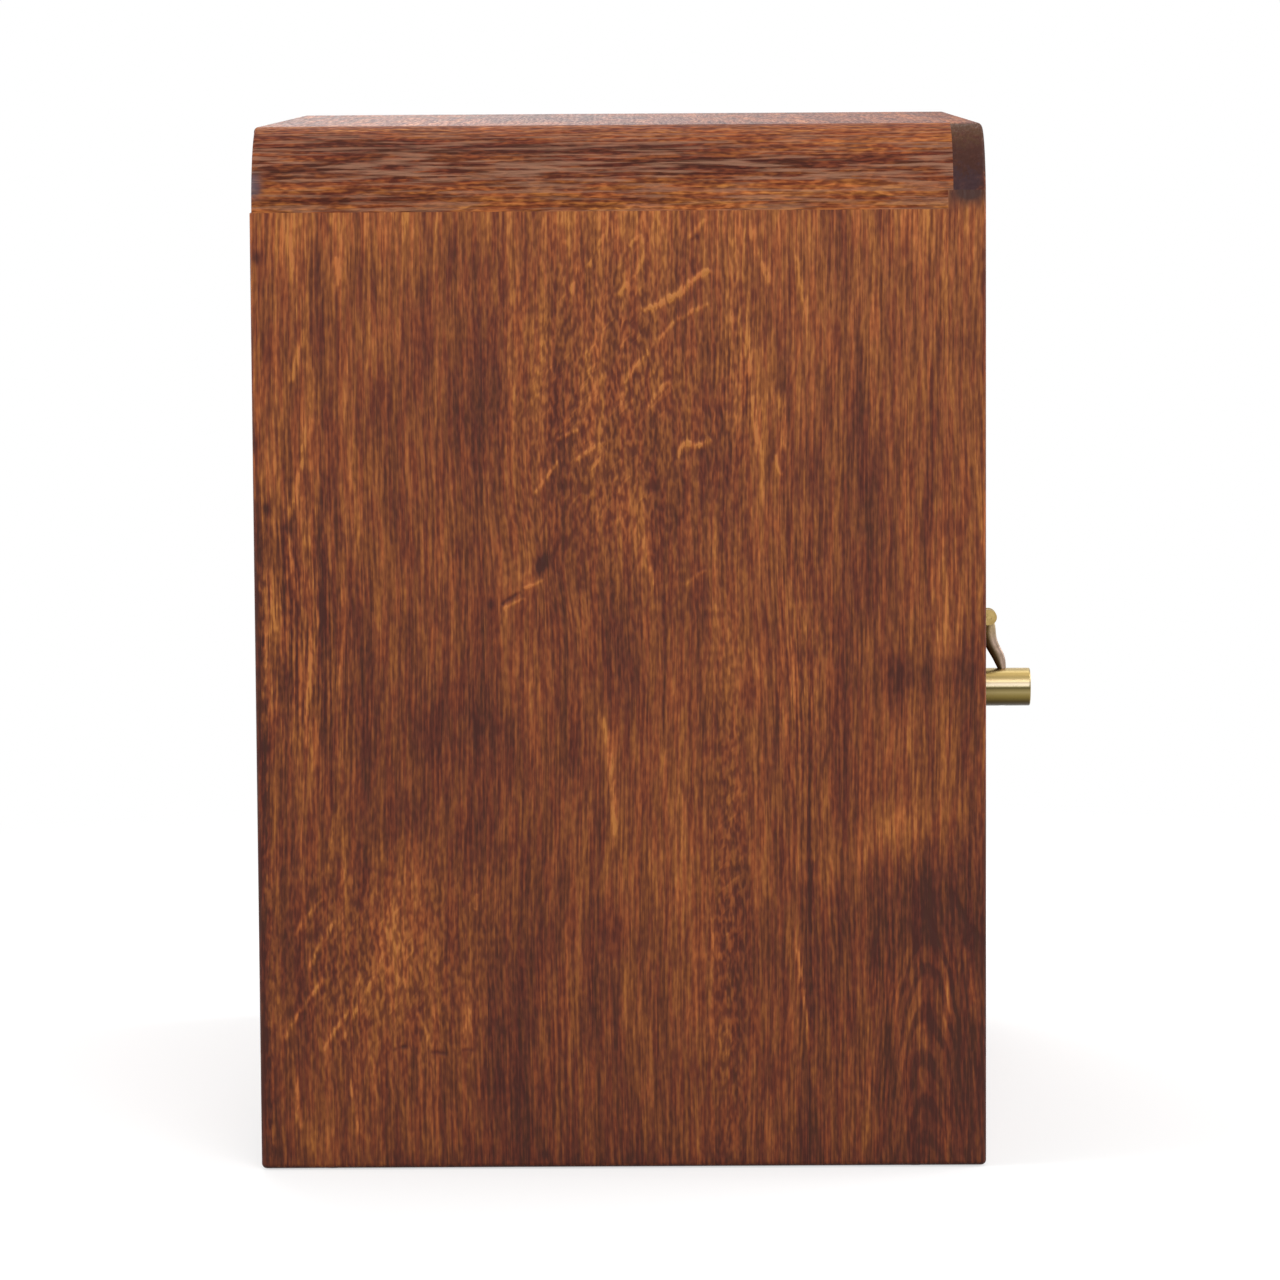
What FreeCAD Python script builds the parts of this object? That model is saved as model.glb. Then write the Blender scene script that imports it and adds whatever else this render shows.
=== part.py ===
import FreeCAD, Part
import math
import os
from types import SimpleNamespace

import Sketcher
from FreeCAD import Placement, Rotation, Vector

# Bedside cabinet with one door, a rounded solid-wood carcass and a brass drop pull.
# Millimetres. X to the right seen from the front, the front faces -Y, Z up.
# The origin is on the floor, in the middle of the width and of the depth with the pull.

# Driving sizes
SIZES = {
    # carcass
    "width": 450.0,
    "depth": 349.0,
    "height": 500.0,
    "board": 20.0,
    "corner_radius": 40.0,
    "edge_round": 2.5,
    "block_setback": 1.0,
    # face frame
    "stile_width": 40.0,
    "stile_thickness": 18.0,
    "top_rail_thickness": 15.5,
    "top_rail_height": 31.0,
    "bottom_rail_height": 40.0,
    # back panel and its rebate
    "panel_thickness": 5.0,
    "panel_overlap": 8.0,
    "panel_fit": 0.2,
    # shelf
    "shelf_height": 262.0,
    "shelf_thickness": 18.0,
    "shelf_setback": 45.0,
    "shelf_rear_gap": 2.0,
    "shelf_side_gap": 0.5,
    "shelf_pin_radius": 2.5,
    "shelf_pin_length": 16.0,
    "shelf_pin_chamfer": 0.4,
    "shelf_pin_inset": 40.0,
    "seat_gap": 0.05,
    # dowels
    "dowel_radius": 4.0,
    "dowel_length": 30.0,
    "dowel_chamfer": 1.0,
    "dowel_fit": 0.05,
    "dowel_end_gap": 0.4,
    "corner_dowel_length": 24.0,
    # glide pads, let into the sides
    "glide_radius": 6.5,
    "glide_thickness": 2.0,
    "glide_proud": 0.5,
    "glide_round": 0.3,
    "glide_fit": 0.2,
    "glide_inset_side": 10.5,
    "glide_inset_end": 34.0,
    "nail_head_radius": 2.2,
    "nail_head_height": 0.8,
    "nail_recess": 0.3,
    "nail_radius": 0.9,
    "nail_length": 14.0,
    # door
    "door_gap": 2.0,
    "door_thickness": 18.0,
    "door_round": 1.0,
    "batten_height": 60.0,
    "batten_thickness": 16.0,
    "batten_round": 2.0,
    "batten_inset_side": 33.0,
    "batten_inset_end": 40.0,
    # butt hinges
    "hinge_height": 50.0,
    "hinge_inset": 50.0,
    "leaf_width": 15.0,
    "leaf_gap": 0.2,
    "knuckle_radius": 3.0,
    "knuckle_gap": 0.3,
    "knuckle_clearance": 0.4,
    "hinge_pin_radius": 1.3,
    "pin_fit": 0.05,
    # small screws for hinges, catch and strike plate
    "small_head_radius": 2.3,
    "small_head_height": 1.4,
    "small_shank_radius": 1.2,
    "small_screw_length": 11.0,
    # screws of the battens and of the back panel
    "batten_head_radius": 3.8,
    "batten_head_height": 2.6,
    "batten_shank_radius": 2.0,
    "batten_screw_length": 28.0,
    "panel_head_radius": 2.7,
    "panel_head_height": 1.8,
    "panel_shank_radius": 1.5,
    "panel_screw_length": 17.0,
    "panel_screw_inset": 60.0,
    "screw_fit": 0.06,
    "slot_width": 0.6,
    "slot_depth": 0.7,
    # magnetic catch
    "catch_inset": 75.0,
    "catch_body_width": 24.0,
    "catch_ear_width": 9.0,
    "catch_ear_height": 3.2,
    "catch_depth": 15.0,
    "catch_height": 13.0,
    "catch_gap": 0.3,
    "pole_reach": 0.5,
    "pole_width": 18.0,
    "pole_depth": 12.0,
    "pole_thickness": 1.2,
    "magnet_thickness": 5.0,
    "pocket_fit": 0.1,
    "strike_width": 34.0,
    "strike_height": 11.0,
    "strike_thickness": 1.2,
    "strike_lift": 1.0,
    # drop pull
    "pull_inset": 23.0,
    "pull_height": 259.5,
    "rosette_radius": 12.0,
    "rosette_thickness": 1.4,
    "rosette_round": 0.5,
    "pivot_out": 4.6,
    "ear_radius": 3.8,
    "ear_thickness": 2.6,
    "eye_radius": 2.9,
    "arm_thickness": 4.0,
    "arm_side_gap": 0.2,
    "pull_pin_radius": 1.25,
    "stud_radius": 2.0,
    "stud_fit": 0.2,
    "stud_tail": 1.5,
    "washer_radius": 5.0,
    "washer_thickness": 0.8,
    "nut_radius": 4.05,
    "nut_thickness": 3.2,
    "grip_radius": 9.25,
    "grip_length": 24.5,
    "grip_rest_gap": 0.2,
    "grip_round": 0.8,
    "grip_drop": 34.5,
    "tenon_radius": 1.7,
    "tenon_depth": 9.0,
    "tenon_end_gap": 0.2,
    "tenon_root": 0.4,
    "grip_head_radius": 2.4,
    "grip_head_height": 1.5,
    "grip_head_recess": 0.6,
    "grip_shank_radius": 1.0,
    "grip_screw_length": 14.0,
    # overrun of every cutting tool
    "overrun": 2.0,
}

# Shares of a width or depth at which boards meet, and at which fasteners stand
SIDE_JOINT_SHARES = (0.0, 0.331, 0.660, 0.795, 1.0)
TOP_JOINT_SHARES = (0.0, 0.36, 0.69, 1.0)
BOTTOM_JOINT_SHARES = (0.0, 0.33, 0.66, 1.0)
SHELF_JOINT_SHARES = (0.0, 0.52, 1.0)
DOOR_JOINT_SHARES = (0.0, 0.27, 0.51, 0.77, 1.0)
BOARD_DOWEL_SHARES = (0.25, 0.75)
CORNER_DOWEL_SHARES = (0.12, 0.5, 0.88)
RAIL_DOWEL_SHARES = (0.28, 0.72)
STILE_DOWEL_SHARE = 0.45
LEAF_SCREW_SHARES = (0.18, 0.5, 0.82)
PANEL_SCREW_SHARES = (0.0, 0.5, 1.0)
STRIKE_SCREW_SHARES = (0.18, 0.82)
KNUCKLES = 5
NUT_SIDES = 6

# Level ovals of the pull's arm, from the eye down to the grip: middle and width as shares of the pull's
# reach, and drop below the pivot as a share of the drop to the grip's axis
ARM_MIDDLE_SHARES = (0.190, 0.204, 0.227, 0.308, 0.370, 0.413, 0.449)
ARM_WIDTH_SHARES = (0.211, 0.255, 0.275, 0.283, 0.263, 0.221, 0.162)
ARM_DROP_SHARES = (0.072, 0.232, 0.348, 0.478, 0.565, 0.652, 0.742)

DOWN = Vector(0, 0, -1)
UP = Vector(0, 0, 1)
LEFT = Vector(-1, 0, 0)
RIGHT = Vector(1, 0, 0)
FORWARD = Vector(0, -1, 0)
BACKWARD = Vector(0, 1, 0)


class Size:
    """A length: the sheet expression that gives it, and the number it comes to now."""

    def __init__(self, text, number):
        self.text = text
        self.number = number

    def joined(self, sign, other, number):
        return Size(f"({self.text} {sign} {as_size(other).text})", number)

    def __add__(self, other):
        return self.joined("+", other, self.number + as_size(other).number)

    def __sub__(self, other):
        return self.joined("-", other, self.number - as_size(other).number)

    def __mul__(self, factor):
        return self.joined("*", factor, self.number * as_size(factor).number)

    def __truediv__(self, factor):
        return self.joined("/", factor, self.number / as_size(factor).number)

    def __rmul__(self, factor):
        return self * factor

    def __radd__(self, other):
        return as_size(other) + self

    def __rsub__(self, other):
        return as_size(other) - self

    def __neg__(self):
        return as_size(0) - self


def as_size(value):
    """A plain number or a Size, as a Size."""
    if isinstance(value, Size):
        return value
    return Size(repr(value), float(value))


doc = FreeCAD.newDocument("bedside_cabinet")
sheet = doc.addObject("Spreadsheet::Sheet", "sizes")
for row, (alias, number) in enumerate(SIZES.items(), start=1):
    sheet.set(f"A{row}", alias)
    sheet.set(f"B{row}", str(number))
    sheet.setAlias(f"B{row}", alias)
doc.recompute()
s = SimpleNamespace(**{alias: Size(f"sizes.{alias}", number) for alias, number in SIZES.items()})
pieces = []


# Places that the pieces share

pull_reach = s.grip_rest_gap + s.grip_length
front = (pull_reach - s.depth) / 2
back = front + s.depth
half = s.width / 2
inside_half = half - s.board
opening_half = half - s.stile_width
flat_half = half - s.corner_radius
stile_back = front + s.stile_thickness
top_rail_back = front + s.top_rail_thickness
base = s.glide_proud
seam = s.height - s.corner_radius
ceiling = s.height - s.board
rail_underside = s.height - s.top_rail_height
floor_top = base + s.bottom_rail_height
floor_under = floor_top - s.board
panel_back = back - s.block_setback
panel_front = panel_back - s.panel_thickness
side_depth = back - stile_back
door_half = opening_half - s.door_gap
door_low = floor_top + s.door_gap
door_high = rail_underside - s.door_gap
door_back = front + s.door_thickness
hinge_x = opening_half - s.door_gap / 2
hinge_y = front - s.knuckle_radius - s.knuckle_clearance
leaf_thickness = (s.door_gap - s.leaf_gap) / 2
catch_x = s.catch_inset - half
catch_front = door_back + s.strike_thickness + s.catch_gap + s.pole_reach
catch_ear_end = s.catch_body_width / 2 + s.catch_ear_width
strike_low = door_low + s.strike_lift
pull_x = s.pull_inset - door_half
pivot_y = front - s.pivot_out
grip_z = s.pull_height - s.grip_drop
grip_top = grip_z + s.grip_radius
grip_bottom = grip_z - s.grip_radius
tenon_y = front - pull_reach * ARM_MIDDLE_SHARES[-1]


# Tools that make objects of the document

def bind(thing, **properties):
    """Bind properties of an object to sheet expressions."""
    for name, value in properties.items():
        thing.setExpression(name, as_size(value).text)


def move(thing, place, turn=Rotation()):
    """Turn an object and bind its place."""
    thing.Placement = Placement(Vector(), turn)
    for axis, value in zip("xyz", place):
        thing.setExpression(f"Placement.Base.{axis}", as_size(value).text)


def keep(thing, label):
    """Count an object as a piece, under the label that names it."""
    thing.Label = label
    pieces.append(thing)
    return thing


def box(name, low, high):
    """A block between two corners."""
    block = doc.addObject("Part::Box", name)
    bind(block, Length=high[0] - low[0], Width=high[1] - low[1], Height=high[2] - low[2])
    move(block, low)
    return block


def cylinder(name, radius, length, place, direction=UP):
    """A cylinder that runs from a place in a direction."""
    rod = doc.addObject("Part::Cylinder", name)
    bind(rod, Radius=radius, Height=length)
    move(rod, place, Rotation(UP, direction))
    return rod


def cut(name, base_shape, *tools):
    """The first shape less the others."""
    for count, tool in enumerate(tools):
        result = doc.addObject("Part::Cut", f"{name}_cut_{count}")
        result.Base = base_shape
        result.Tool = tool
        base_shape = result
    return base_shape


def common(name, first, second):
    """What two shapes share."""
    result = doc.addObject("Part::Common", name)
    result.Base = first
    result.Tool = second
    return result


def fuse(name, shapes):
    """Several shapes as one solid."""
    result = doc.addObject("Part::MultiFuse", name)
    result.Shapes = shapes
    result.Refine = True
    return result


def corner(x, y):
    """A corner of an outline, from which a straight edge leads on."""
    return SimpleNamespace(x=as_size(x), y=as_size(y), centre=None, radius=None, turn=1)


def arc_corner(x, y, centre, radius, turn):
    """A corner of an outline, from which an arc leads on: turn is 1 anticlockwise, -1 clockwise."""
    return SimpleNamespace(x=as_size(x), y=as_size(y), centre=centre, radius=radius, turn=turn)


def arc_middle(start, end, point):
    """The point halfway along the arc that leads on from a corner."""
    centre = Vector(as_size(point.centre[0]).number, as_size(point.centre[1]).number, 0)
    first = math.atan2(start.y - centre.y, start.x - centre.x)
    last = math.atan2(end.y - centre.y, end.x - centre.x)
    sweep = ((last - first) * point.turn) % (2 * math.pi)
    middle = first + point.turn * sweep / 2
    return centre + Vector(math.cos(middle), math.sin(middle), 0) * point.radius.number


def hold_on(sketch, edge, end, value, direction, axis):
    """Fix one coordinate of an edge's end, on an axis of the sketch or at a bound distance."""
    if value.text == "0":
        sketch.addConstraint(Sketcher.Constraint("PointOnObject", edge, end, axis))
        return
    index = sketch.addConstraint(Sketcher.Constraint(direction, -1, 1, edge, end, value.number))
    sketch.setExpression(f"Constraints[{index}]", value.text)


def outline(body, name, role, corners):
    """A closed sketch through corners, on an origin plane of its own body."""
    sketch = body.newObject("Sketcher::SketchObject", name)
    plane = next(feature for feature in body.Origin.OriginFeatures if feature.Role == role)
    sketch.AttachmentSupport = [(plane, "")]
    sketch.MapMode = "FlatFace"
    points = [Vector(point.x.number, point.y.number, 0) for point in corners]
    count = len(corners)
    for index, point in enumerate(corners):
        start = points[index]
        end = points[(index + 1) % count]
        if point.centre is None:
            sketch.addGeometry(Part.LineSegment(start, end))
        else:
            sketch.addGeometry(Part.Arc(start, arc_middle(start, end, point), end))
    # an arc's first end is where it starts anticlockwise
    first_end = [1 if point.turn > 0 else 2 for point in corners]
    for index, point in enumerate(corners):
        following = (index + 1) % count
        sketch.addConstraint(
            Sketcher.Constraint("Coincident", index, 3 - first_end[index], following, first_end[following]))
        if point.radius is not None:
            radius = sketch.addConstraint(Sketcher.Constraint("Radius", index, point.radius.number))
            sketch.setExpression(f"Constraints[{radius}]", point.radius.text)
        hold_on(sketch, index, first_end[index], point.x, "DistanceX", -2)
        hold_on(sketch, index, first_end[index], point.y, "DistanceY", -1)
    return sketch


def revolved(name, corners):
    """A body turned about its Z axis from a half outline in X and Z."""
    body = doc.addObject("PartDesign::Body", name)
    sketch = outline(body, f"{name}_outline", "XZ_Plane", corners)
    turn = body.newObject("PartDesign::Revolution", f"{name}_turned")
    turn.Profile = sketch
    turn.ReferenceAxis = (sketch, ["V_Axis"])
    turn.Angle = 360
    return body


def padded(name, role, corners, length, reverse=False):
    """A body raised from an outline on an origin plane."""
    body = doc.addObject("PartDesign::Body", name)
    sketch = outline(body, f"{name}_outline", role, corners)
    pad = body.newObject("PartDesign::Pad", f"{name}_raised")
    pad.Profile = sketch
    bind(pad, Length=length)
    pad.Reversed = reverse
    return body


def rounded(body, name, radius, wanted):
    """Round the edges of a body that a test picks."""
    doc.recompute()
    last = body.Tip
    edges = [f"Edge{index}" for index, edge in enumerate(last.Shape.Edges, start=1) if wanted(edge)]
    fillet = body.newObject("PartDesign::Fillet", name)
    fillet.Base = (last, edges)
    bind(fillet, Radius=radius)
    return body


def copies(name, original, places, direction=DOWN):
    """Copies of a piece that points down, turned to a direction and set at places, as one compound."""
    links = []
    for index, place in enumerate(places):
        link = doc.addObject("App::Link", f"{name}_copy_{index}")
        link.LinkedObject = original
        link.LinkTransform = False
        move(link, place, Rotation(DOWN, direction))
        links.append(link)
    group = doc.addObject("Part::Compound", name)
    group.Links = links
    return group


def gathered(name, groups):
    """Several groups as one compound."""
    result = doc.addObject("Part::Compound", name)
    result.Links = groups
    return result


def between(low, high, share):
    """The place at a share of the way from low to high."""
    return low + (high - low) * share


# Fasteners

def rod_with_chamfers(name, radius, length, chamfer):
    """A dowel or pin along Z, centred on its own origin."""
    return revolved(name, [
        corner(0, -length / 2),
        corner(radius - chamfer, -length / 2),
        corner(radius, chamfer - length / 2),
        corner(radius, length / 2 - chamfer),
        corner(radius - chamfer, length / 2),
        corner(0, length / 2),
    ])


def dowel_hole(name, length):
    """The hole of a dowel, centred on its own origin."""
    radius = s.dowel_radius + s.dowel_fit
    half_length = length / 2 + s.dowel_end_gap
    return revolved(name, [
        corner(0, -half_length),
        corner(radius, -half_length),
        corner(radius, half_length),
        corner(0, half_length),
    ])


def screw_outline(head_radius, head_height, shank_radius, length, fit):
    """Half outline of a countersunk screw that points down, with its head's face at zero."""
    point_length = shank_radius * 2
    return [
        corner(0, 0),
        corner(head_radius + fit, 0),
        corner(shank_radius + fit, -head_height),
        corner(shank_radius + fit, point_length - length),
        corner(0, -length - fit),
    ]


def screw(name, head_radius, head_height, shank_radius, length):
    """A slotted countersunk screw, and the tool that cuts its hole."""
    slotted = revolved(name, screw_outline(head_radius, head_height, shank_radius, length, 0))
    slot = slotted.newObject("PartDesign::SubtractiveBox", f"{name}_slot")
    bind(slot, Length=head_radius * 2 + s.overrun, Width=s.slot_width, Height=s.slot_depth + s.overrun)
    move(slot, (-head_radius - s.overrun / 2, -s.slot_width / 2, -s.slot_depth))
    loose = screw_outline(head_radius, head_height, shank_radius, length, s.screw_fit)
    return slotted, revolved(f"{name}_hole", loose)


def fastened(name, kind, places, direction):
    """A set of screws at places, and the set of their holes."""
    screws = copies(name, kind[0], places, direction)
    holes = copies(f"{name}_holes", kind[1], places, direction)
    return screws, holes


small_screw = screw("small_screw", s.small_head_radius, s.small_head_height, s.small_shank_radius,
                    s.small_screw_length)
batten_screw = screw("batten_screw", s.batten_head_radius, s.batten_head_height, s.batten_shank_radius,
                     s.batten_screw_length)
panel_screw = screw("panel_screw", s.panel_head_radius, s.panel_head_height, s.panel_shank_radius,
                    s.panel_screw_length)
grip_screw = screw("grip_screw", s.grip_head_radius, s.grip_head_height, s.grip_shank_radius,
                   s.grip_screw_length)
dowel = rod_with_chamfers("dowel", s.dowel_radius, s.dowel_length, s.dowel_chamfer)
dowel_bore = dowel_hole("dowel_bore", s.dowel_length)
corner_dowel = rod_with_chamfers("corner_dowel", s.dowel_radius, s.corner_dowel_length, s.dowel_chamfer)
corner_dowel_bore = dowel_hole("corner_dowel_bore", s.corner_dowel_length)


# Outer form of the carcass: an upturned U section with eased edges, from which its outer faces come

def carcass_form():
    """The whole outside of the carcass as one body."""
    form = padded("carcass_form", "XZ_Plane", [
        corner(-half, base),
        corner(half, base),
        arc_corner(half, seam, (flat_half, seam), s.corner_radius, 1),
        corner(flat_half, s.height),
        arc_corner(-flat_half, s.height, (-flat_half, seam), s.corner_radius, 1),
        corner(-half, seam),
    ], s.depth, reverse=True)
    move(form, (0, front, 0))

    def outer_edge(edge):
        reach = edge.BoundBox
        at_end = reach.YLength < s.seat_gap.number
        at_base = reach.ZMax < base.number + s.seat_gap.number
        return at_end or at_base

    return rounded(form, "carcass_eased", s.edge_round, outer_edge)


form = carcass_form()


# Tool that cuts the rebate of the back panel

def panel_outline(fit):
    """The back panel's outline, let out by a fit."""
    reach = inside_half + s.panel_overlap + fit
    top = ceiling + s.panel_overlap + fit
    radius = s.corner_radius - s.board + s.panel_overlap + fit
    return [
        corner(-reach, floor_under - fit),
        corner(reach, floor_under - fit),
        arc_corner(reach, seam, (flat_half, seam), radius, 1),
        corner(flat_half, top),
        arc_corner(-flat_half, top, (-flat_half, seam), radius, 1),
        corner(-reach, seam),
    ]


rebate = padded("rebate", "XZ_Plane", panel_outline(s.panel_fit),
                s.panel_thickness + s.block_setback + s.panel_fit + s.overrun, reverse=True)
move(rebate, (0, panel_front - s.panel_fit, 0))


# Fasteners at their places, with the holes that the boards take

rail_dowel_zs = [between(base, floor_top, share) for share in RAIL_DOWEL_SHARES]
rail_dowel_y = front + s.stile_thickness / 2
frame_level_places = [(side * opening_half, rail_dowel_y, z) for side in (-1, 1) for z in rail_dowel_zs]
stile_dowel_x = opening_half + s.stile_width * STILE_DOWEL_SHARE
frame_upright_places = [
    (side * stile_dowel_x, front + s.top_rail_thickness / 2, rail_underside) for side in (-1, 1)]
floor_middle = floor_top - s.board / 2
bottom_depth = panel_front - s.panel_fit - stile_back
bottom_dowel_ys = [
    stile_back + bottom_depth * between(low, high, share)
    for low, high in zip(BOTTOM_JOINT_SHARES, BOTTOM_JOINT_SHARES[1:])
    for share in BOARD_DOWEL_SHARES]
bottom_dowel_places = [(side * inside_half, y, floor_middle) for side in (-1, 1) for y in bottom_dowel_ys]
corner_dowel_ys = [between(stile_back, panel_front, share) for share in CORNER_DOWEL_SHARES]
corner_upright_places = [(side * (half - s.board / 2), y, seam) for side in (-1, 1) for y in corner_dowel_ys]
corner_level_places = [
    (side * flat_half, y, s.height - s.board / 2) for side in (-1, 1) for y in corner_dowel_ys]

frame_level_bores = copies("frame_level_bores", dowel_bore, frame_level_places, RIGHT)
frame_upright_bores = copies("frame_upright_bores", dowel_bore, frame_upright_places)
bottom_bores = copies("bottom_bores", dowel_bore, bottom_dowel_places, RIGHT)
corner_upright_bores = copies("corner_upright_bores", corner_dowel_bore, corner_upright_places)
corner_level_bores = copies("corner_level_bores", corner_dowel_bore, corner_level_places, RIGHT)

shelf_under = s.shelf_height - s.shelf_thickness
shelf_front = stile_back + s.shelf_setback
shelf_rear = panel_front - s.shelf_rear_gap
shelf_pin_ys = (shelf_front + s.shelf_pin_inset, shelf_rear - s.shelf_pin_inset)
shelf_pin_z = shelf_under - s.shelf_pin_radius - s.seat_gap
shelf_pin_places = [(side * inside_half, y, shelf_pin_z) for side in (-1, 1) for y in shelf_pin_ys]
shelf_pin = rod_with_chamfers("shelf_pin", s.shelf_pin_radius, s.shelf_pin_length, s.shelf_pin_chamfer)
shelf_pin_bore = rod_with_chamfers("shelf_pin_bore", s.shelf_pin_radius + s.dowel_fit,
                                   s.shelf_pin_length + s.dowel_end_gap * 2, s.shelf_pin_chamfer)
shelf_bores = copies("shelf_bores", shelf_pin_bore, shelf_pin_places, RIGHT)


def glide_nail(name, fit):
    """A glide's nail that points up: its head is sunk in the pad."""
    head = s.nail_recess
    under_head = head + s.nail_head_height
    return revolved(name, [
        corner(0, head - fit),
        corner(s.nail_head_radius + fit, head - fit),
        corner(s.nail_head_radius + fit, under_head + fit),
        corner(s.nail_radius + fit, under_head + fit),
        corner(s.nail_radius + fit, s.nail_length - s.nail_radius * 2),
        corner(0, s.nail_length + fit),
    ])


glide_places = [
    (side * (half - s.glide_inset_side), y, 0)
    for side in (-1, 1) for y in (front + s.glide_inset_end, back - s.glide_inset_end)]
nail = glide_nail("nail", 0)
nail_bore = glide_nail("nail_bore", s.screw_fit)
nail_bores = copies("nail_bores", nail_bore, glide_places)
seat_radius = s.glide_radius + s.glide_fit
glide_seat = revolved("glide_seat", [
    corner(0, -s.overrun),
    corner(seat_radius, -s.overrun),
    corner(seat_radius, s.glide_thickness),
    corner(0, s.glide_thickness),
])
glide_seats = copies("glide_seats", glide_seat, glide_places)

panel_screw_x = inside_half + s.panel_overlap / 2
panel_screw_top = ceiling + s.panel_overlap / 2
panel_screw_low = floor_top + s.panel_screw_inset
panel_screw_high = seam - s.panel_screw_inset
panel_screw_places = [
    (side * panel_screw_x, panel_back, between(panel_screw_low, panel_screw_high, share))
    for side in (-1, 1) for share in PANEL_SCREW_SHARES]
panel_screw_places += [
    (between(s.panel_screw_inset - flat_half, flat_half - s.panel_screw_inset, share), panel_back, z)
    for z in (panel_screw_top, floor_middle) for share in PANEL_SCREW_SHARES]
back_screws, back_screw_holes = fastened("back_screw_set", panel_screw, panel_screw_places, FORWARD)
keep(back_screws, "back_screws")

hinge_lows = {"upper": door_high - s.hinge_inset - s.hinge_height, "lower": door_low + s.hinge_inset}
leaf_screw_y = front + s.leaf_width / 2
leaf_screw_zs = [low + s.hinge_height * share for low in hinge_lows.values() for share in LEAF_SCREW_SHARES]
frame_leaf_screws, frame_leaf_holes = fastened(
    "frame_leaf_screw_set", small_screw,
    [(hinge_x + s.leaf_gap / 2, leaf_screw_y, z) for z in leaf_screw_zs], RIGHT)
keep(frame_leaf_screws, "frame_leaf_screws")
door_leaf_screws, door_leaf_holes = fastened(
    "door_leaf_screw_set", small_screw,
    [(hinge_x - s.leaf_gap / 2, leaf_screw_y, z) for z in leaf_screw_zs], LEFT)
keep(door_leaf_screws, "door_leaf_screws")

catch_screw_places = [
    (catch_x + side * (catch_ear_end - s.catch_ear_width / 2), catch_front + s.catch_depth / 2,
     floor_top + s.catch_ear_height) for side in (-1, 1)]
catch_screws, catch_screw_holes = fastened("catch_screw_set", small_screw, catch_screw_places, DOWN)
keep(catch_screws, "catch_screws")

strike_screw_places = [
    (between(catch_x - s.strike_width / 2, catch_x + s.strike_width / 2, share),
     door_back + s.strike_thickness, strike_low + s.strike_height / 2) for share in STRIKE_SCREW_SHARES]
strike_screws, strike_holes = fastened("strike_screw_set", small_screw, strike_screw_places, FORWARD)
keep(strike_screws, "strike_screws")

batten_lows = {
    "upper": door_high - s.batten_inset_end - s.batten_height,
    "lower": door_low + s.batten_inset_end}
batten_half = door_half - s.batten_inset_side
batten_screw_places = [
    (between(-batten_half, batten_half, (start + end) / 2), door_back + s.batten_thickness,
     low + s.batten_height / 2)
    for low in batten_lows.values() for start, end in zip(DOOR_JOINT_SHARES, DOOR_JOINT_SHARES[1:])]
batten_screws, batten_holes = fastened("batten_screw_set", batten_screw, batten_screw_places, FORWARD)
keep(batten_screws, "batten_screws")

grip_screw_places = [(pull_x, tenon_y, grip_bottom + s.grip_head_recess)]
grip_screws, grip_screw_holes = fastened("grip_screw_set", grip_screw, grip_screw_places, UP)
keep(grip_screws, "pull_grip_screw")


# Sides, each of four upright boards from the rear to the stile

def side_boards(side_name, side):
    """The boards of one side, with the rear one rebated for the back panel."""
    low_x = -half if side < 0 else inside_half
    for number, (start, end) in enumerate(zip(SIDE_JOINT_SHARES, SIDE_JOINT_SHARES[1:]), start=1):
        name = f"{side_name}_side_board_{number}"
        block = box(f"{name}_block", (low_x, back - side_depth * end, base),
                    (low_x + s.board, back - side_depth * start, seam))
        board = common(f"{name}_formed", block, form)
        tools = [bottom_bores, corner_upright_bores, shelf_bores, glide_seats, nail_bores]
        if number == 1:
            tools = [rebate, back_screw_holes] + tools
        keep(cut(name, board, *tools), name)


# Corner blocks: quarter rings between side and top, notched at the front for the stile

def corner_block(side_name, side):
    """The block of one side, as long as the top boards less its setback at the rear."""
    name = f"{side_name}_corner_block"
    radius_in = s.corner_radius - s.board
    ring = padded(f"{name}_ring", "XZ_Plane", [
        arc_corner(side * half, seam, (side * flat_half, seam), s.corner_radius, side),
        corner(side * flat_half, s.height),
        arc_corner(side * flat_half, ceiling, (side * flat_half, seam), radius_in, -side),
        corner(side * inside_half, seam),
    ], panel_back - top_rail_back, reverse=True)
    move(ring, (0, top_rail_back, 0))
    formed = common(f"{name}_formed", ring, form)
    notch_low = -half if side < 0 else opening_half
    notch = box(f"{name}_notch", (notch_low, front, seam),
                (notch_low + s.stile_width, stile_back, rail_underside))
    keep(cut(name, formed, notch, rebate, corner_upright_bores, corner_level_bores, back_screw_holes), name)


for side_name, side in (("left", -1), ("right", 1)):
    side_boards(side_name, side)
    corner_block(side_name, side)


# Top and bottom, each of three boards with the grain from side to side

def level_boards(kind, shares, half_length, low_y, high_y, low_z, high_z, tools):
    """Boards of one kind, from front to rear."""
    for number, (start, end) in enumerate(zip(shares, shares[1:]), start=1):
        name = f"{kind}_board_{number}"
        block = box(f"{name}_block", (-half_length, between(low_y, high_y, start), low_z),
                    (half_length, between(low_y, high_y, end), high_z))
        board = common(f"{name}_formed", block, form)
        keep(cut(name, board, *tools), name)


level_boards("top", TOP_JOINT_SHARES, flat_half, top_rail_back, back, ceiling, s.height,
             [rebate, corner_level_bores, back_screw_holes])
level_boards("bottom", BOTTOM_JOINT_SHARES, inside_half, stile_back, panel_front - s.panel_fit, floor_under,
             floor_top, [bottom_bores, catch_screw_holes, back_screw_holes])


# Magnetic catch on the bottom, behind the door's free edge

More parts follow.
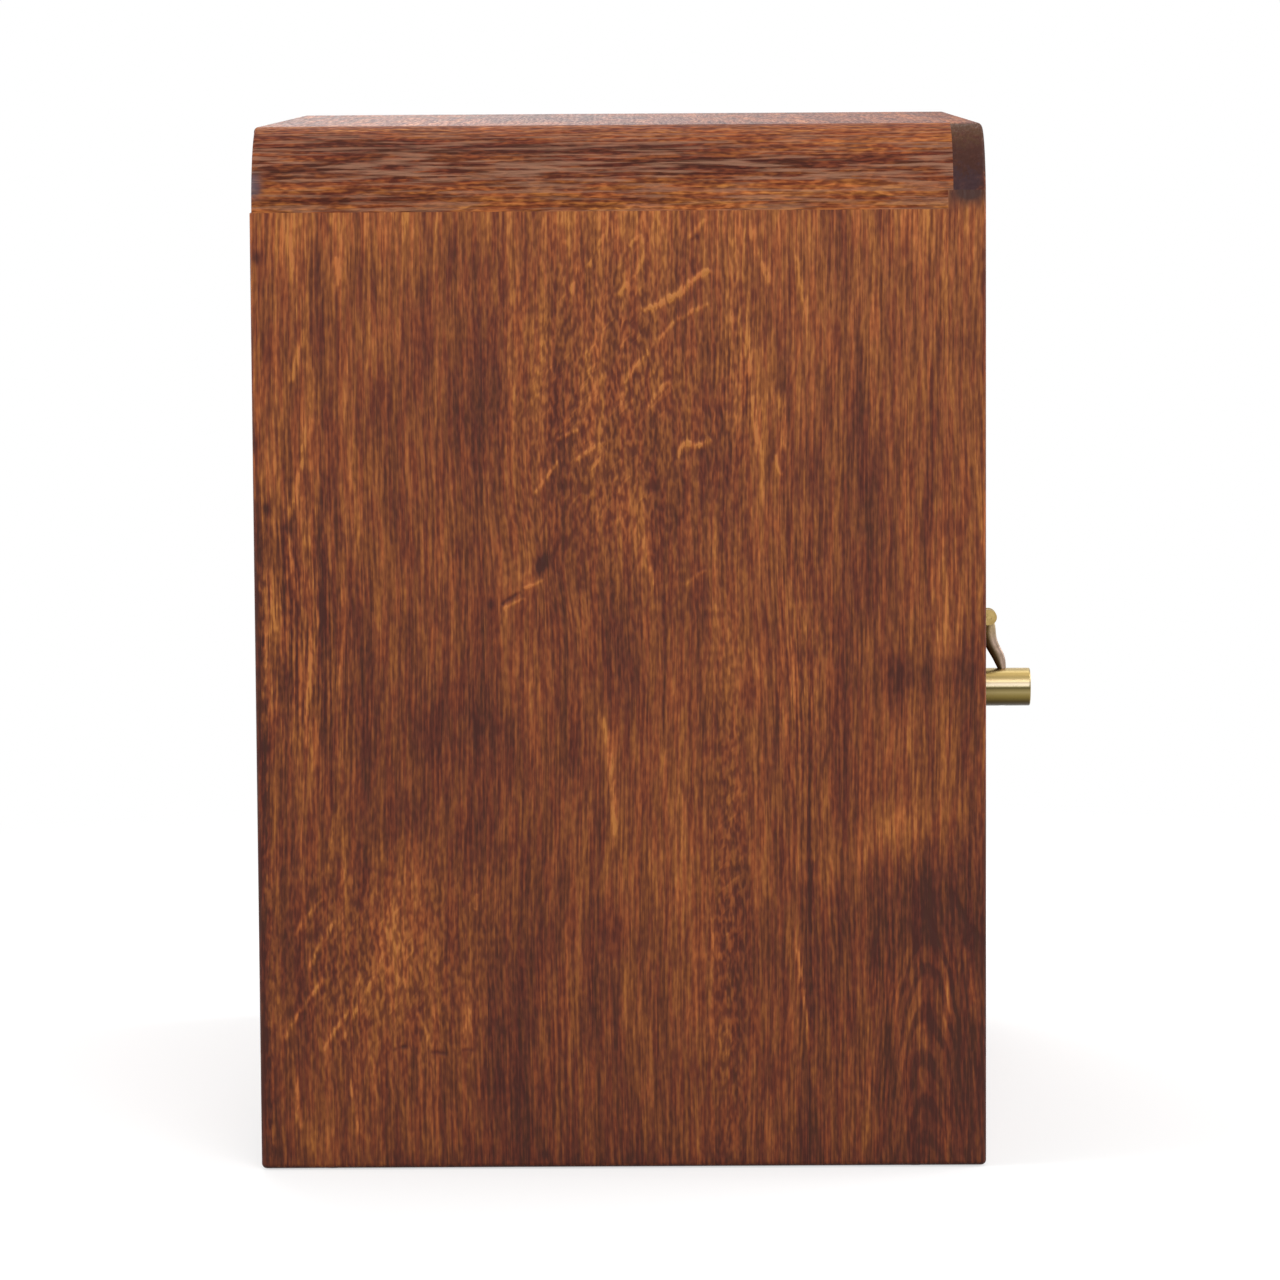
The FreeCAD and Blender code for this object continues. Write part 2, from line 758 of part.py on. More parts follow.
def magnetic_catch():
    """Housing with two ears, and the magnet in it between two pole plates."""
    stack = s.magnet_thickness + s.pole_thickness * 2
    middle = floor_top + s.catch_height / 2
    stack_low = middle - stack / 2
    body = box("catch_body", (catch_x - s.catch_body_width / 2, catch_front, floor_top),
               (catch_x + s.catch_body_width / 2, catch_front + s.catch_depth, floor_top + s.catch_height))
    ears = box("catch_ears", (catch_x - catch_ear_end, catch_front, floor_top),
               (catch_x + catch_ear_end, catch_front + s.catch_depth, floor_top + s.catch_ear_height))
    housing = fuse("catch_whole", [body, ears])
    half_pocket = s.pole_width / 2 + s.pocket_fit
    pocket = box("catch_pocket", (catch_x - half_pocket, catch_front - s.overrun, stack_low - s.pocket_fit),
                 (catch_x + half_pocket, catch_front + s.pole_depth + s.pocket_fit,
                  stack_low + stack + s.pocket_fit))
    keep(cut("catch_housing", housing, pocket, catch_screw_holes), "catch_housing")
    half_pole = s.pole_width / 2
    magnet = box("catch_magnet", (catch_x - half_pole, catch_front, stack_low + s.pole_thickness),
                 (catch_x + half_pole, catch_front + s.pole_depth, stack_low + stack - s.pole_thickness))
    keep(magnet, "catch_magnet")
    poles = [
        box(f"pole_{level}", (catch_x - half_pole, catch_front - s.pole_reach, low),
            (catch_x + half_pole, catch_front + s.pole_depth, low + s.pole_thickness))
        for level, low in (("low", stack_low), ("high", stack_low + stack - s.pole_thickness))]
    keep(gathered("pole_pair", poles), "catch_pole_plates")


magnetic_catch()


# Face frame: stiles under the ends of the top rail, and a bottom rail between them

def face_frame():
    """Stiles and rails, cut for their dowels and for the hinge screws."""
    for side_name, side in (("left", -1), ("right", 1)):
        low_x = -half if side < 0 else opening_half
        block = box(f"{side_name}_stile_block", (low_x, front, base),
                    (low_x + s.stile_width, stile_back, rail_underside))
        stile = common(f"{side_name}_stile_formed", block, form)
        keep(cut(f"{side_name}_stile", stile, frame_level_bores, frame_upright_bores, frame_leaf_holes),
             f"{side_name}_stile")
    block = box("top_rail_block", (-half, front, rail_underside), (half, top_rail_back, s.height))
    keep(cut("top_rail", common("top_rail_formed", block, form), frame_upright_bores), "top_rail")
    block = box("bottom_rail_block", (-opening_half, front, base), (opening_half, stile_back, floor_top))
    keep(cut("bottom_rail", common("bottom_rail_formed", block, form), frame_level_bores), "bottom_rail")


face_frame()


# Dowels

frame_dowels = [
    copies("frame_level_dowels", dowel, frame_level_places, RIGHT),
    copies("frame_upright_dowels", dowel, frame_upright_places)]
corner_dowels = [
    copies("corner_upright_dowels", corner_dowel, corner_upright_places),
    copies("corner_level_dowels", corner_dowel, corner_level_places, RIGHT)]
keep(gathered("frame_dowel_set", frame_dowels), "frame_dowels")
keep(gathered("corner_dowel_set", corner_dowels), "corner_dowels")
keep(copies("bottom_dowel_set", dowel, bottom_dowel_places, RIGHT), "bottom_dowels")


# Back panel

panel = padded("panel", "XZ_Plane", panel_outline(0), s.panel_thickness, reverse=True)
move(panel, (0, panel_front, 0))
keep(cut("back_panel", panel, back_screw_holes), "back_panel")


# Shelf of two boards on four pins

def shelf():
    """Two boards glued edge to edge, and the pins under them."""
    half_length = inside_half - s.shelf_side_gap
    for place, (start, end) in zip(("front", "rear"), zip(SHELF_JOINT_SHARES, SHELF_JOINT_SHARES[1:])):
        name = f"shelf_board_{place}"
        board = box(name, (-half_length, between(shelf_front, shelf_rear, start), shelf_under),
                    (half_length, between(shelf_front, shelf_rear, end), s.shelf_height))
        keep(board, name)
    keep(copies("shelf_pin_set", shelf_pin, shelf_pin_places, RIGHT), "shelf_pins")


shelf()


# Glide pads with their nails, under the sides

def glides():
    """Four pads, each on one nail."""
    pad = revolved("glide_pad", [
        corner(0, 0),
        corner(s.glide_radius - s.glide_round, 0),
        corner(s.glide_radius, s.glide_round),
        corner(s.glide_radius, s.glide_thickness),
        corner(0, s.glide_thickness),
    ])
    sunk = cylinder("glide_sink", s.nail_head_radius + s.screw_fit, s.nail_recess + s.overrun,
                    (0, 0, -s.overrun))
    bored = cut("glide", pad, nail_bore, sunk)
    keep(copies("glide_pad_set", bored, glide_places), "glide_pads")
    keep(copies("glide_nail_set", nail, glide_places), "glide_nails")


glides()


# Door: four upright boards, held by two battens on the inside

def door():
    """Boards cut from one eased slab, and the battens across them."""
    stud_hole = cylinder("stud_hole", s.stud_radius + s.stud_fit, s.door_thickness + s.overrun * 2,
                         (pull_x, front - s.overrun, s.pull_height), BACKWARD)
    slab = padded("door_slab", "XZ_Plane", [
        corner(-door_half, door_low),
        corner(door_half, door_low),
        corner(door_half, door_high),
        corner(-door_half, door_high),
    ], s.door_thickness, reverse=True)
    move(slab, (0, front, 0))
    rounded(slab, "door_eased", s.door_round, lambda edge: True)
    for number, (start, end) in enumerate(zip(DOOR_JOINT_SHARES, DOOR_JOINT_SHARES[1:]), start=1):
        name = f"door_board_{number}"
        block = box(f"{name}_block", (between(-door_half, door_half, start), front, door_low),
                    (between(-door_half, door_half, end), door_back, door_high))
        board = common(f"{name}_formed", block, slab)
        keep(cut(name, board, stud_hole, strike_holes, batten_holes, door_leaf_holes), name)
    for place, low in batten_lows.items():
        name = f"{place}_batten"
        block = padded(f"{name}_block", "XZ_Plane", [
            corner(-batten_half, low),
            corner(batten_half, low),
            corner(batten_half, low + s.batten_height),
            corner(-batten_half, low + s.batten_height),
        ], s.batten_thickness, reverse=True)
        move(block, (0, door_back, 0))
        just_inside = (s.batten_thickness - s.seat_gap).number
        rounded(block, f"{name}_eased", s.batten_round, lambda edge: edge.BoundBox.YMin > just_inside)
        keep(cut(name, block, batten_holes), name)


door()


# Butt hinges: five knuckles, three on the frame leaf and two on the door leaf

knuckle_height = (s.hinge_height - s.knuckle_gap * (KNUCKLES - 1)) / KNUCKLES


def hinge_leaf(name, low, side, first, holes):
    """A leaf whose plate lies on one side of the pin, with every other knuckle from the first."""
    plate_low = hinge_x + s.leaf_gap / 2 if side > 0 else hinge_x - s.leaf_gap / 2 - leaf_thickness
    parts = [box(f"{name}_plate", (plate_low, front, low),
                 (plate_low + leaf_thickness, front + s.leaf_width, low + s.hinge_height))]
    for number in range(first, KNUCKLES, 2):
        knuckle_low = low + (knuckle_height + s.knuckle_gap) * number
        parts.append(cylinder(f"{name}_knuckle_{number}", s.knuckle_radius, knuckle_height,
                              (hinge_x, hinge_y, knuckle_low)))
        parts.append(box(f"{name}_web_{number}", (plate_low, hinge_y, knuckle_low),
                         (plate_low + leaf_thickness, front, knuckle_low + knuckle_height)))
    bore = cylinder(f"{name}_bore", s.hinge_pin_radius + s.pin_fit, s.hinge_height + s.overrun * 2,
                    (hinge_x, hinge_y, low - s.overrun))
    keep(cut(name, fuse(f"{name}_whole", parts), bore, holes), name)


def hinges():
    """Two hinges with a pin each."""
    pins = []
    for place, low in hinge_lows.items():
        hinge_leaf(f"{place}_hinge_frame_leaf", low, 1, 0, frame_leaf_holes)
        hinge_leaf(f"{place}_hinge_door_leaf", low, -1, 1, door_leaf_holes)
        pins.append(cylinder(f"{place}_hinge_pin", s.hinge_pin_radius, s.hinge_height,
                             (hinge_x, hinge_y, low)))
    keep(gathered("hinge_pin_pair", pins), "hinge_pins")


hinges()


# Strike plate on the door, in front of the catch

strike = box("strike", (catch_x - s.strike_width / 2, door_back, strike_low),
             (catch_x + s.strike_width / 2, door_back + s.strike_thickness, strike_low + s.strike_height))
keep(cut("strike_plate", strike, strike_holes), "strike_plate")


# Drop pull

def pull_base():
    """Round plate with two ears and a stud, in one casting."""
    plate = revolved("rosette", [
        corner(0, 0),
        corner(s.rosette_radius, 0),
        corner(s.rosette_radius, s.rosette_thickness - s.rosette_round),
        corner(s.rosette_radius - s.rosette_round, s.rosette_thickness),
        corner(0, s.rosette_thickness),
    ])
    move(plate, (pull_x, front, s.pull_height), Rotation(UP, FORWARD))
    parts = [plate]
    inner = s.arm_thickness / 2 + s.arm_side_gap
    for place, low_x in (("left", pull_x - inner - s.ear_thickness), ("right", pull_x + inner)):
        parts.append(cylinder(f"{place}_ear", s.ear_radius, s.ear_thickness,
                              (low_x, pivot_y, s.pull_height), RIGHT))
        parts.append(box(f"{place}_ear_foot", (low_x, pivot_y, s.pull_height - s.ear_radius),
                         (low_x + s.ear_thickness, front - s.rosette_thickness / 2,
                          s.pull_height + s.ear_radius)))
    stud_length = s.door_thickness + s.washer_thickness + s.nut_thickness + s.stud_tail
    parts.append(cylinder("stud", s.stud_radius, stud_length, (pull_x, front, s.pull_height), BACKWARD))
    bore = cylinder("ear_bore", s.pull_pin_radius + s.pin_fit, (inner + s.ear_thickness) * 2 + s.overrun * 2,
                    (pull_x - inner - s.ear_thickness - s.overrun, pivot_y, s.pull_height), RIGHT)
    keep(cut("pull_base", fuse("pull_base_whole", parts), bore), "pull_base")
    pin = cylinder("pull_pin", s.pull_pin_radius, (inner + s.ear_thickness) * 2,
                   (pull_x - inner - s.ear_thickness, pivot_y, s.pull_height), RIGHT)
    keep(pin, "pull_pin")


def pull_fixing():
    """Washer and nut on the stud, inside the door."""
    ring = cylinder("washer_ring", s.washer_radius, s.washer_thickness,
                    (pull_x, door_back, s.pull_height), BACKWARD)
    bore_length = s.washer_thickness + s.nut_thickness + s.overrun * 2
    bore = cylinder("fixing_bore", s.stud_radius + s.pin_fit, bore_length,
                    (pull_x, door_back - s.overrun, s.pull_height), BACKWARD)
    keep(cut("pull_washer", ring, bore), "pull_washer")
    hexagon = doc.addObject("Part::Prism", "nut_block")
    hexagon.Polygon = NUT_SIDES
    bind(hexagon, Circumradius=s.nut_radius, Height=s.nut_thickness)
    move(hexagon, (pull_x, door_back + s.washer_thickness, s.pull_height), Rotation(UP, BACKWARD))
    keep(cut("pull_nut", hexagon, bore), "pull_nut")


def arm_oval(middle_share, width_share, drop_share):
    """A level oval of the arm, at its place on the door."""
    centre = Vector(pull_x.number, (front - pull_reach * middle_share).number,
                    (s.pull_height - s.grip_drop * drop_share).number)
    across = (pull_reach * width_share / 2).number
    through = (s.arm_thickness / 2).number
    if across > through:
        oval = Part.Ellipse(centre + Vector(0, across, 0), centre + Vector(-through, 0, 0), centre)
    else:
        oval = Part.Ellipse(centre + Vector(through, 0, 0), centre + Vector(0, across, 0), centre)
    return Part.Wire([oval.toShape()])


def pull_arm():
    """Tapered arm that bends outward from its eye to the top of the grip, with a tenon in the grip."""
    blade = doc.addObject("Part::Feature", "arm_blade")
    ovals = [arm_oval(*shares) for shares in zip(ARM_MIDDLE_SHARES, ARM_WIDTH_SHARES, ARM_DROP_SHARES)]
    blade.Shape = Part.makeLoft(ovals, True)
    blade.Placement = Placement()
    low_x = pull_x - s.arm_thickness / 2
    eye = cylinder("arm_eye", s.eye_radius, s.arm_thickness, (low_x, pivot_y, s.pull_height), RIGHT)
    seat = cylinder("arm_seat", s.grip_radius + s.seat_gap, s.grip_length * 2,
                    (pull_x, front, grip_z), FORWARD)
    seated = cut("arm_seated", blade, seat)
    tenon = cylinder("arm_tenon", s.tenon_radius, s.tenon_depth + s.tenon_root,
                     (pull_x, tenon_y, grip_top + s.tenon_root), DOWN)
    bore = cylinder("arm_bore", s.pull_pin_radius + s.pin_fit, s.arm_thickness + s.overrun * 2,
                    (low_x - s.overrun, pivot_y, s.pull_height), RIGHT)
    keep(cut("pull_arm", fuse("arm_whole", [seated, eye, tenon]), bore, grip_screw_holes), "pull_arm")


def pull_grip():
    """Turned cylinder that hangs at right angles to the door, with its rear end on the door's face."""
    soft = s.grip_round
    flat_radius = s.grip_radius - soft
    soft_end = s.grip_length - soft
    turned = revolved("grip_turned", [
        corner(0, 0),
        arc_corner(flat_radius, 0, (flat_radius, soft), soft, 1),
        corner(s.grip_radius, soft),
        arc_corner(s.grip_radius, soft_end, (flat_radius, soft_end), soft, 1),
        corner(flat_radius, s.grip_length),
        corner(0, s.grip_length),
    ])
    move(turned, (pull_x, front - s.grip_rest_gap, grip_z), Rotation(UP, FORWARD))
    socket = cylinder("grip_socket", s.tenon_radius + s.pin_fit, s.tenon_depth + s.tenon_end_gap + s.overrun,
                      (pull_x, tenon_y, grip_top + s.overrun), DOWN)
    sink = cylinder("grip_sink", s.grip_head_radius + s.screw_fit, s.grip_head_recess + s.overrun,
                    (pull_x, tenon_y, grip_bottom - s.overrun))
    keep(cut("pull_grip", turned, socket, sink, grip_screw_holes), "pull_grip")


pull_base()
pull_fixing()
pull_arm()
pull_grip()

doc.recompute()


# Check every object, then write each piece

def failed(thing):
    """Whether an object of the document could not be made."""
    return any(word in state for state in thing.State for word in ("Invalid", "Error"))


problems = [thing.Name for thing in doc.Objects if failed(thing)]
problems += [piece.Label for piece in pieces if piece.Shape.isNull() or not piece.Shape.isValid()]
if problems:
    raise RuntimeError(f"failed objects: {problems}")

os.makedirs("parts", exist_ok=True)
for piece in pieces:
    piece.Shape.exportStep(f"parts/{piece.Label}.step")
print(len(pieces), "pieces,", sum(len(piece.Shape.Solids) for piece in pieces), "solids")
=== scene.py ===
import math

import bpy
from mathutils import Matrix, Vector


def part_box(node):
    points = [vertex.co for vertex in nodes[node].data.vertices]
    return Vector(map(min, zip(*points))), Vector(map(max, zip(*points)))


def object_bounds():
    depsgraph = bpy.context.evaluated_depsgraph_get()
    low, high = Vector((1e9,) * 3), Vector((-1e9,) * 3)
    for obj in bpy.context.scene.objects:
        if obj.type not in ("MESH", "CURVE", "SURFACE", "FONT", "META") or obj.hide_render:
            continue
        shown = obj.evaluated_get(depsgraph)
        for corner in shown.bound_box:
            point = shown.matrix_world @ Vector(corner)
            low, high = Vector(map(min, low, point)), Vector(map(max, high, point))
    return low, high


# Looks of a bedside cabinet in brushed, chestnut-stained oak with a brass drop pull.
# Metres. X to the right seen from the front, the front faces -Y, Z up.

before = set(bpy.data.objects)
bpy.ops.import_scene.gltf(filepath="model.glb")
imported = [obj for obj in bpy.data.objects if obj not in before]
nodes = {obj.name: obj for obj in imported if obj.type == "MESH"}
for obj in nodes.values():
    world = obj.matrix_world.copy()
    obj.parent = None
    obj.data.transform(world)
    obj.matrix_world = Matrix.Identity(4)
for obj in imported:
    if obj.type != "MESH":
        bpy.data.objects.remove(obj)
cad_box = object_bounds()


# Places on the cabinet that the finishes follow

LEFT_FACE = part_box("left_side_board_1")[0].x
REAR_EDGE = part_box("left_side_board_1")[1].y
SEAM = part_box("left_side_board_1")[1].z
FRONT_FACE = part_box("left_stile")[0].y
RAIL_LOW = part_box("top_rail")[0].z
MILLIMETRE = 0.001


# Shader tools

class Value:
    """A value in a node tree. Sums on it add Math nodes to the tree."""

    def __init__(self, paint, socket):
        self.paint = paint
        self.socket = socket

    def math(self, operation, *others):
        sockets = dict(enumerate((self, *others)))
        return self.paint.node("ShaderNodeMath", {"operation": operation}, sockets)

    def reflected(self, operation, other):
        return self.paint.node("ShaderNodeMath", {"operation": operation}, {0: other, 1: self})

    def __add__(self, other):
        return self.math("ADD", other)

    def __radd__(self, other):
        return self.reflected("ADD", other)

    def __sub__(self, other):
        return self.math("SUBTRACT", other)

    def __rsub__(self, other):
        return self.reflected("SUBTRACT", other)

    def __mul__(self, other):
        return self.math("MULTIPLY", other)

    def __rmul__(self, other):
        return self.reflected("MULTIPLY", other)

    def __truediv__(self, other):
        return self.math("DIVIDE", other)

    def smooth(self, low, high):
        """0 below low, 1 above high, and a soft step between."""
        return self.paint.node(
            "ShaderNodeMapRange", {"interpolation_type": "SMOOTHSTEP"},
            {"Value": self, "From Min": low, "From Max": high})

    def bell(self, width):
        """1 where the value is zero, falling to nothing a few widths away."""
        ratio = self / width
        return (ratio * ratio * -1).math("EXPONENT")

    def between(self, low, high, soft):
        """1 between two values, with soft ends."""
        return self.smooth(low - soft, low + soft) * (1 - self.smooth(high - soft, high + soft))

    def part(self, output):
        """Another output of the same node."""
        return Value(self.paint, self.socket.node.outputs[output])


class Paint:
    """A material or a world, and the nodes that make its finish."""

    def __init__(self, owner):
        self.owner = owner
        owner.use_nodes = True
        self.tree = owner.node_tree
        self.tree.nodes.clear()

    def node(self, kind, settings=None, sockets=None, output=0):
        """A node of a kind: its settings first, then the values or links of its sockets."""
        made = self.tree.nodes.new(kind)
        for name, setting in (settings or {}).items():
            if name == "stops":
                self.fill_ramp(made.color_ramp, setting)
            else:
                setattr(made, name, setting)
        for key, value in (sockets or {}).items():
            if isinstance(value, Value):
                self.tree.links.new(value.socket, made.inputs[key])
            else:
                made.inputs[key].default_value = value
        return Value(self, made.outputs[output] if len(made.outputs) else None)

    def fill_ramp(self, ramp, stops):
        """Put a colour at each stop of a ramp."""
        while len(ramp.elements) < len(stops):
            ramp.elements.new(1)
        for element, (position, colour) in zip(ramp.elements, stops):
            element.position = position
            element.color = colour

    def vector(self, x, y, z):
        return self.node("ShaderNodeCombineXYZ", None, {0: x, 1: y, 2: z})

    def cells(self, x, y, z):
        """The object's own place, with the number of cells to the metre along each axis."""
        spot = self.node("ShaderNodeTexCoord", output="Object")
        return self.node("ShaderNodeVectorMath", {"operation": "MULTIPLY"}, {0: spot, 1: (x, y, z)})

    def stretched(self, places, counts):
        """Three distances, with the number of cells to the metre along each."""
        return self.vector(*(place * count for place, count in zip(places, counts)))

    def place_and_facing(self):
        """Where a point of the object lies and which way it faces, each with its X, Y and Z."""
        spot = self.node("ShaderNodeTexCoord", output="Object")
        return (self.node("ShaderNodeSeparateXYZ", None, {0: spot}),
                self.node("ShaderNodeSeparateXYZ", None, {0: spot.part("Normal")}))

    def noise(self, place, detail=2.0, roughness=0.5):
        """Soft noise about 0.5, one cell to each unit of its place."""
        return self.node("ShaderNodeTexNoise", None,
                         {"Vector": place, "Scale": 1.0, "Detail": detail, "Roughness": roughness})

    def mix(self, share, first, second, way="MIX"):
        """A colour that goes from the first to the second as the share rises."""
        return self.node(
            "ShaderNodeMix", {"data_type": "RGBA", "blend_type": way, "clamp_factor": True},
            {0: share, 6: first, 7: second}, output=2)

    def ramp(self, value, stops):
        return self.node("ShaderNodeValToRGB", {"stops": stops}, {0: value})

    def bump(self, height, strength, distance):
        return self.node("ShaderNodeBump", None,
                         {"Strength": strength, "Distance": distance, "Height": height})

    def surface(self, **sockets):
        """Finish with one Principled surface: a socket's name has _ for a space."""
        named = {name.replace("_", " "): value for name, value in sockets.items()}
        return self.finish(self.node("ShaderNodeBsdfPrincipled", None, named))

    def finish(self, shader, kind="ShaderNodeOutputMaterial"):
        self.node(kind, None, {"Surface": shader})
        return self.owner


def tint(red, green, blue):
    """A colour from its 0 to 255 screen values."""
    def linear(level):
        share = level / 255
        return share / 12.92 if share <= 0.04045 else ((share + 0.055) / 1.055) ** 2.4
    return (linear(red), linear(green), linear(blue), 1.0)


def grey(level):
    return (level, level, level, 1.0)


# Camera at the photograph's place: level with the top, looking along +X at the left side

CAMERA_PLACE = Vector((-2.9859, -0.0128, 0.5456))
CAMERA_YAW = math.radians(0.328)
CAMERA_PITCH = math.radians(5.993)
CAMERA_ROLL = math.radians(-0.36)
CAMERA_LENS = 163.7
CAMERA_SIGHT = 50


def set_camera():
    """A long lens, level with the top of the cabinet."""
    data = bpy.data.cameras.new("camera")
    data.lens = CAMERA_LENS
    data.clip_end = CAMERA_SIGHT
    camera = bpy.data.objects.new("camera", data)
    bpy.context.collection.objects.link(camera)
    ahead = Vector((math.cos(CAMERA_PITCH) * math.cos(CAMERA_YAW),
                    math.cos(CAMERA_PITCH) * math.sin(CAMERA_YAW), -math.sin(CAMERA_PITCH)))
    level = ahead.cross(Vector((0, 0, 1))).normalized()
    upright = level.cross(ahead)
    right = level * math.cos(CAMERA_ROLL) + upright * math.sin(CAMERA_ROLL)
    up = upright * math.cos(CAMERA_ROLL) - level * math.sin(CAMERA_ROLL)
    turn = Matrix((right, up, -ahead)).transposed()
    camera.matrix_world = Matrix.Translation(CAMERA_PLACE) @ turn.to_4x4()
    bpy.context.scene.camera = camera


# Floor, backdrop and lamps

SIDE_LAMP_AZIMUTHS = (-75, 15, 105, 195)
SIDE_LAMP = {"elevation": 24, "distance": 2.4, "size": 1.4, "power": 27}
TOP_LAMP = {"elevation": 89, "distance": 2.2, "size": 1.6, "power": 11}
ROOM_LIGHT = 0.42
FLOOR_REACH = 8.0
FLOOR_LIGHT = 0.22
FLOOR_GLOW = 0.56
FLOOR_SHADE = 0.45
SHADOW_REACH = 0.55


def seen_directly(paint):
    """1 for what the camera, a gloss or a glass sees, 0 for light that falls on the cabinet."""
    rays = paint.node("ShaderNodeLightPath", output="Is Camera Ray")
    mirrored = rays.part("Is Glossy Ray")
    return rays.math("MAXIMUM", mirrored).math("MAXIMUM", rays.part("Is Transmission Ray"))


def set_room():
    """White surroundings that light the cabinet softly, and a pale floor that keeps its shadow."""
    world = bpy.data.worlds.new("room")
    bpy.context.scene.world = world
    paint = Paint(world)
    level = paint.mix(seen_directly(paint), grey(ROOM_LIGHT), grey(1.0))
    shader = paint.node("ShaderNodeBackground", None, {"Color": level, "Strength": 1.0})
    paint.finish(shader, "ShaderNodeOutputWorld")

    mesh = bpy.data.meshes.new("floor")
    ways = ((-1, -1), (1, -1), (1, 1), (-1, 1))
    corners = [(x * FLOOR_REACH, y * FLOOR_REACH, 0) for x, y in ways]
    mesh.from_pydata(corners, [], [(0, 1, 2, 3)])
    floor = bpy.data.objects.new("floor", mesh)
    bpy.context.collection.objects.link(floor)
    paint = Paint(bpy.data.materials.new("floor_finish"))
    dull = paint.node("ShaderNodeBsdfDiffuse", None, {"Color": grey(FLOOR_LIGHT)})
    glow = paint.node("ShaderNodeEmission", None, {"Color": grey(FLOOR_GLOW)})
    shaded = paint.node("ShaderNodeBsdfDiffuse", None, {"Color": grey(FLOOR_SHADE)})
    near = paint.node("ShaderNodeAddShader", None, {0: glow, 1: shaded})
    far = paint.node("ShaderNodeEmission", None, {"Color": grey(1.0)})
    spot = paint.node("ShaderNodeTexCoord", output="Object")
    distance = paint.node(
        "ShaderNodeVectorMath", {"operation": "LENGTH"}, {0: spot}, output="Value")
    white = paint.node("ShaderNodeMixShader", None, {
        0: distance.smooth(SHADOW_REACH, 2 * SHADOW_REACH), 1: near, 2: far})
    shader = paint.node("ShaderNodeMixShader", None, {0: seen_directly(paint), 1: dull, 2: white})
    mesh.materials.append(paint.finish(shader))


def softbox(name, azimuth, elevation, distance, size, power):
    """A square lamp facing the cabinet's middle. Azimuth 0 is before the front, 90 at the right."""
    lamp = bpy.data.lights.new(name, "AREA")
    lamp.size = size
    lamp.energy = power
    holder = bpy.data.objects.new(name, lamp)
    bpy.context.collection.objects.link(holder)
    turn, lift = math.radians(azimuth), math.radians(elevation)
    away = Vector((
        math.sin(turn) * math.cos(lift), -math.cos(turn) * math.cos(lift), math.sin(lift)))
    middle = Vector((0, 0, (cad_box[0].z + cad_box[1].z) / 2))
    holder.location = middle + away * distance
    holder.rotation_mode = "QUATERNION"
    holder.rotation_quaternion = away.to_track_quat("Z", "Y")


def set_lamps():
    """Four soft lamps about the cabinet, and one over it."""
    for number, azimuth in enumerate(SIDE_LAMP_AZIMUTHS, start=1):
        softbox(f"side_lamp_{number}", azimuth, **SIDE_LAMP)
    softbox("top_lamp", 0, **TOP_LAMP)


# Oak: brushed along the grain, stained, with open pores

WOOD_STOPS = [
    (0.0, tint(70, 37, 30)), (0.12, tint(81, 42, 32)), (0.25, tint(93, 48, 35)),
    (0.38, tint(107, 56, 38)), (0.51, tint(123, 67, 41)), (0.63, tint(138, 78, 45)),
    (0.76, tint(154, 90, 50)), (0.89, tint(174, 105, 56)), (1.0, tint(192, 121, 66)),
]
RUSSET = tint(255, 228, 226)
OLIVE = tint(248, 250, 220)
HUE_SHARE = 0.65
RUSSET_STEP = (0.42, 0.66)
OLIVE_STEP = (0.58, 0.34)

# Where a face cuts the grain: how squarely it does, and the darker wood there
END_STEP = (0.45, 0.85)
END_WOOD = tint(70, 42, 36)
END_SHADE = 0.15
END_CELLS = (300, 300, 300)
END_PORES = (0.35, 0.65)

# Layers of the grain: cells to the metre across and along it, a shift, and the noise's detail
# and roughness
PATCHES = (15, 4.5, 1.3, 2.0, 0.5)
BANDS = (105, 8, 7.7, 2.0, 0.5)
LINES = (650, 31, 3.1, 2.0, 0.6)
FLECKS = (590, 190, 5.9, 1.0, 0.5)
HUES = (430, 42, 9.2, 1.0, 0.5)
NOISE_SPAN = (0.3, 0.7)

# How much each layer changes the shade
MIDDLE_SHADE = 0.492
CLOUD_SHARE = 0.75
BAND_SHARE = 0.95
LINE_SHARE = 0.65
FLECK_SHARE = 0.33
STROKE_LEVEL = 0.85
STROKE_GRAIN = 0.5

# The grain wanders sideways over a board
WANDER_CELLS = (8, 5)
WANDER_WAY = 0.009

# Year rings of a flat-sawn board, about the middle of the tree behind it
RING_SHARE = 0.17
RING_BASE = 0.05
RING_RATE = 1250
RING_RIPPLE = 7
RING_STEP = (-0.1, 1.0)
PITH_DEPTH = 0.034
PITH_SPREAD = 0.014
PITH_ASIDE = 0.012
PITH_TILT = 0.03
PITH_TILT_TURN = 1.7
PITH_SWAY = 0.03

# Ray flakes of a quarter-sawn board
RAY_SHARE = 0.26
RAY_LEAN = 0.75
RAY_SWAY = 0.02
RAY_CELLS = (460, 300, 84)
RAY_STEP = (0.6, 0.7)
RAY_PATCHES = (0.44, 0.6)

# The brushed relief
BRUSH_STRENGTH = 0.45
BRUSH_DEPTH = 0.0005
BAND_HEIGHT = 0.5
STROKE_HEIGHT = 1.5
PORE_DULLNESS = 0.2


def board_places(paint, grain):
    """Distances across, through and along the grain, and how squarely a face cuts it."""
    place, facing = paint.place_and_facing()
    across, through, along = grain
    squarely = facing.part(along).math("ABSOLUTE")
    return place.part(across), place.part(through), place.part(along), squarely


def middle_of(node_name, grain):
    """The middle of a board across, through and along its grain."""
    low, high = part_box(node_name)
    return [(low["XYZ".index(letter)] + high["XYZ".index(letter)]) / 2 for letter in grain]


